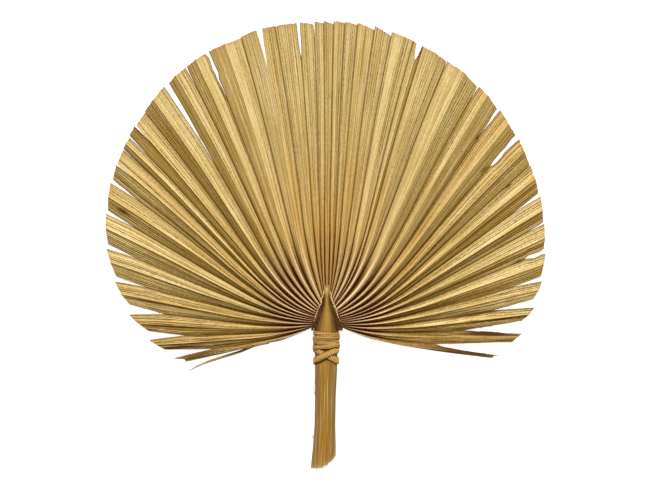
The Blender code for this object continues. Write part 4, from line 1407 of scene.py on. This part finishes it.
class PALM_OT_strands(bpy.types.Operator):
    """Build the loose strand, torn fibres at the slits and peelings of the stalk"""

    bl_idname = "palm.strands"
    bl_label = "Build Strands"

    def execute(self, context):
        finish = finish_named("loose_fibre", make_fibre_material, context.scene.palm_finish)
        folds = Folds(context.scene.palm_shape)
        strand = Bundle()
        places = [int(np.argmin(np.abs(folds.plan[0, :, 0] - x))) for x in (-46.0, -57.0)]
        start = [(*folds.plan[0, k], folds.height[0, k]) for k in places]
        path = curve_through(start + LOOSE_STRAND, 60)
        share = np.linspace(0.0, 1.0, 60)
        width = np.interp(share, [0.0, 0.3, 0.85, 1.0], [1.6, 1.8, 1.4, 0.5])
        strand.fibre(path, width, 0.45 * width + 0.1, tone=-0.6, cut=0.75, around=10)
        offset = path + np.array([0.5, 0.9, 0.25]) * (0.4 + 0.8 * np.sin(np.pi * share))[:, None]
        width = width[:46]
        strand.fibre(offset[:46], 0.55 * width, 0.35 * width + 0.1, tone=-0.4, cut=0.65, around=8)
        strand.piece("loose_strand", finish, "dry_leaf", "palm_leaf")
        torn = Bundle()
        rng = np.random.default_rng(91)
        for j, (angle, _, depth, width, _) in enumerate(folds.rows):
            if depth < 10.0:
                continue
            for _ in range(7 if angle in ROUGH_SLITS else 3):
                k = int(rng.uniform(0.35, 1.0) * folds.ends[j])
                side = rng.integers(0, 2)
                plan, height = folds.edge(j, side)
                across = folds.square[j, k] * (-1.0 if side == 0 else 1.0)
                length = rng.uniform(1.2, 4.5)
                steps = np.linspace(0.0, 1.0, 6)
                reach = min(0.6 * width * folds.open[j, k] + 0.3, 1.2) * rng.uniform(0.3, 1.0)
                flat = plan[k] - across * 0.25 + folds.along[j, k] * (0.6 - length * steps)[:, None]
                flat = flat + across * (reach * steps**1.5)[:, None]
                z = height[k] + rng.uniform(-0.15, 0.3) + 0.5 * steps
                torn.fibre(np.column_stack([flat, z]), 0.34 - 0.24 * steps, 0.2 - 0.12 * steps,
                           tone=rng.uniform(-1, 1), cut=0.3, around=5)
        torn.piece("torn_fibres", finish, "dry_leaf", "palm_leaf")
        peel = Bundle()
        for size, knots in PEELINGS:
            path = curve_through(knots, 22)
            taper = np.interp(np.linspace(0, 1, 22), [0.0, 0.25, 0.8, 1.0], [0.35, 1.0, 1.0, 0.5])
            peel.fibre(path, size * taper, 0.6 * size * taper, tone=0.2, cut=0.15)
        end = np.random.default_rng(17)
        for _ in range(34):
            x = end.uniform(-9.6, 8.0)
            z = end.uniform(1.6, 8.6) - 0.03 * x * x
            y = float(cut_y(np.array(x)))
            steps = np.linspace(0.0, 1.0, 6)
            reach = end.uniform(0.6, 2.0)
            path = triples(x + end.uniform(-0.5, 0.5) * steps, y + 0.8 - (0.8 + reach) * steps,
                           z + end.uniform(-0.4, 0.5) * steps)
            peel.fibre(path, 0.42 - 0.26 * steps, 0.34 - 0.2 * steps, tone=end.uniform(-1, 1),
                       cut=end.uniform(0.0, 0.7), around=5)
        peel.piece("stalk_peelings", finish, "dry_leaf", "palm_leaf")
        return {"FINISHED"}


class PALM_OT_lashing(bpy.types.Operator):
    """Build the turns of the lashing, each a flat bundle of strands"""

    bl_idname = "palm.lashing"
    bl_label = "Build Lashing"

    def execute(self, context):
        finish = finish_named("split_strand", make_lashing_material, context.scene.palm_finish)
        for turn in TURNS:
            points, faces, marks = lashing_turn(turn)
            mesh_piece(turn[0], points, faces, finish, "lashing", marks,
                       sharp=60.0)
        return {"FINISHED"}


class PALM_OT_stage(bpy.types.Operator):
    """Set the table, the soft light and the camera straight above the leaf"""

    bl_idname = "palm.stage"
    bl_label = "Set Stage"

    def execute(self, context):
        scene = context.scene
        stage = scene.palm_stage
        sides = TABLE_SIDES
        turns = [2.0 * math.pi * i / sides for i in range(sides)]
        mesh = bpy.data.meshes.new("table")
        rings = [(radius * math.cos(t), radius * math.sin(t), TABLE_LEVEL)
                 for radius in TABLE_RADII for t in turns]
        faces = [tuple(range(sides))]
        faces += [(i, i + sides, (i + 1) % sides + sides, (i + 1) % sides) for i in range(sides)]
        mesh.from_pydata(rings, [], faces)
        mesh.materials.append(finish_named("pale_table", make_table_material))
        table = bpy.data.objects.new("table", mesh)
        scene.collection.objects.link(table)
        world = bpy.data.worlds.new("studio")
        world.use_nodes = True
        sky = world.node_tree.nodes["Background"].inputs
        sky["Color"].default_value = SKY_TINT
        sky["Strength"].default_value = stage.fill_strength
        scene.world = world
        light = bpy.data.lights.new("key", "SUN")
        light.energy = stage.key_strength
        light.angle = math.radians(SUN_SPREAD)
        key = bpy.data.objects.new("key", light)
        toward = Vector((0.0, math.cos(stage.key_height), math.sin(stage.key_height)))
        key.rotation_euler = toward.to_track_quat("Z", "Y").to_euler()
        scene.collection.objects.link(key)
        data = bpy.data.cameras.new("camera")
        data.sensor_width = SENSOR_WIDTH
        data.lens = SENSOR_WIDTH * stage.camera_distance / stage.frame_width
        data.clip_end = VIEW_REACH
        camera = bpy.data.objects.new("camera", data)
        height = stage.camera_distance + HUB_HEIGHT * MM
        camera.matrix_world = Matrix.Translation((0.0, VIEW_Y, height))
        scene.collection.objects.link(camera)
        scene.camera = camera
        scene.view_settings.view_transform = "Standard"
        return {"FINISHED"}


class PALM_PT_panel(bpy.types.Panel):
    """The steps that build the leaf, in order"""

    bl_label = "Palm Leaf"
    bl_idname = "PALM_PT_panel"
    bl_space_type = "VIEW_3D"
    bl_region_type = "UI"
    bl_category = "Palm Leaf"

    def draw(self, context):
        layout = self.layout
        for step in STEPS:
            layout.operator(step.bl_idname)
        for group in (getattr(context.scene, name) for name in GROUPS):
            box = layout.box()
            for name in group.bl_rna.properties.keys():
                if name not in ("rna_type", "name"):
                    box.prop(group, name)


STEPS = (PALM_OT_blade, PALM_OT_stalk, PALM_OT_root_line, PALM_OT_strands, PALM_OT_lashing,
         PALM_OT_stage)
GROUPS = {"palm_shape": PALM_PG_shape, "palm_finish": PALM_PG_finish, "palm_stage": PALM_PG_stage}


def register():
    """Register the classes and hang the settings on the scene."""
    for item in (*GROUPS.values(), *STEPS, PALM_PT_panel):
        bpy.utils.register_class(item)
    for name, group in GROUPS.items():
        setattr(bpy.types.Scene, name, bpy.props.PointerProperty(type=group))


def unregister():
    """Undo register."""
    for name in GROUPS:
        delattr(bpy.types.Scene, name)
    for item in reversed((*GROUPS.values(), *STEPS, PALM_PT_panel)):
        bpy.utils.unregister_class(item)


def main():
    """Build the leaf and its stage."""
    register()
    for make in (make_fibre_group, make_speck_group, make_dash_group, make_tone_group):
        make()
    bpy.ops.palm.blade()
    bpy.ops.palm.stalk()
    bpy.ops.palm.root_line()
    bpy.ops.palm.strands()
    bpy.ops.palm.lashing()
    bpy.ops.palm.stage()


if __name__ == "__main__":
    main()
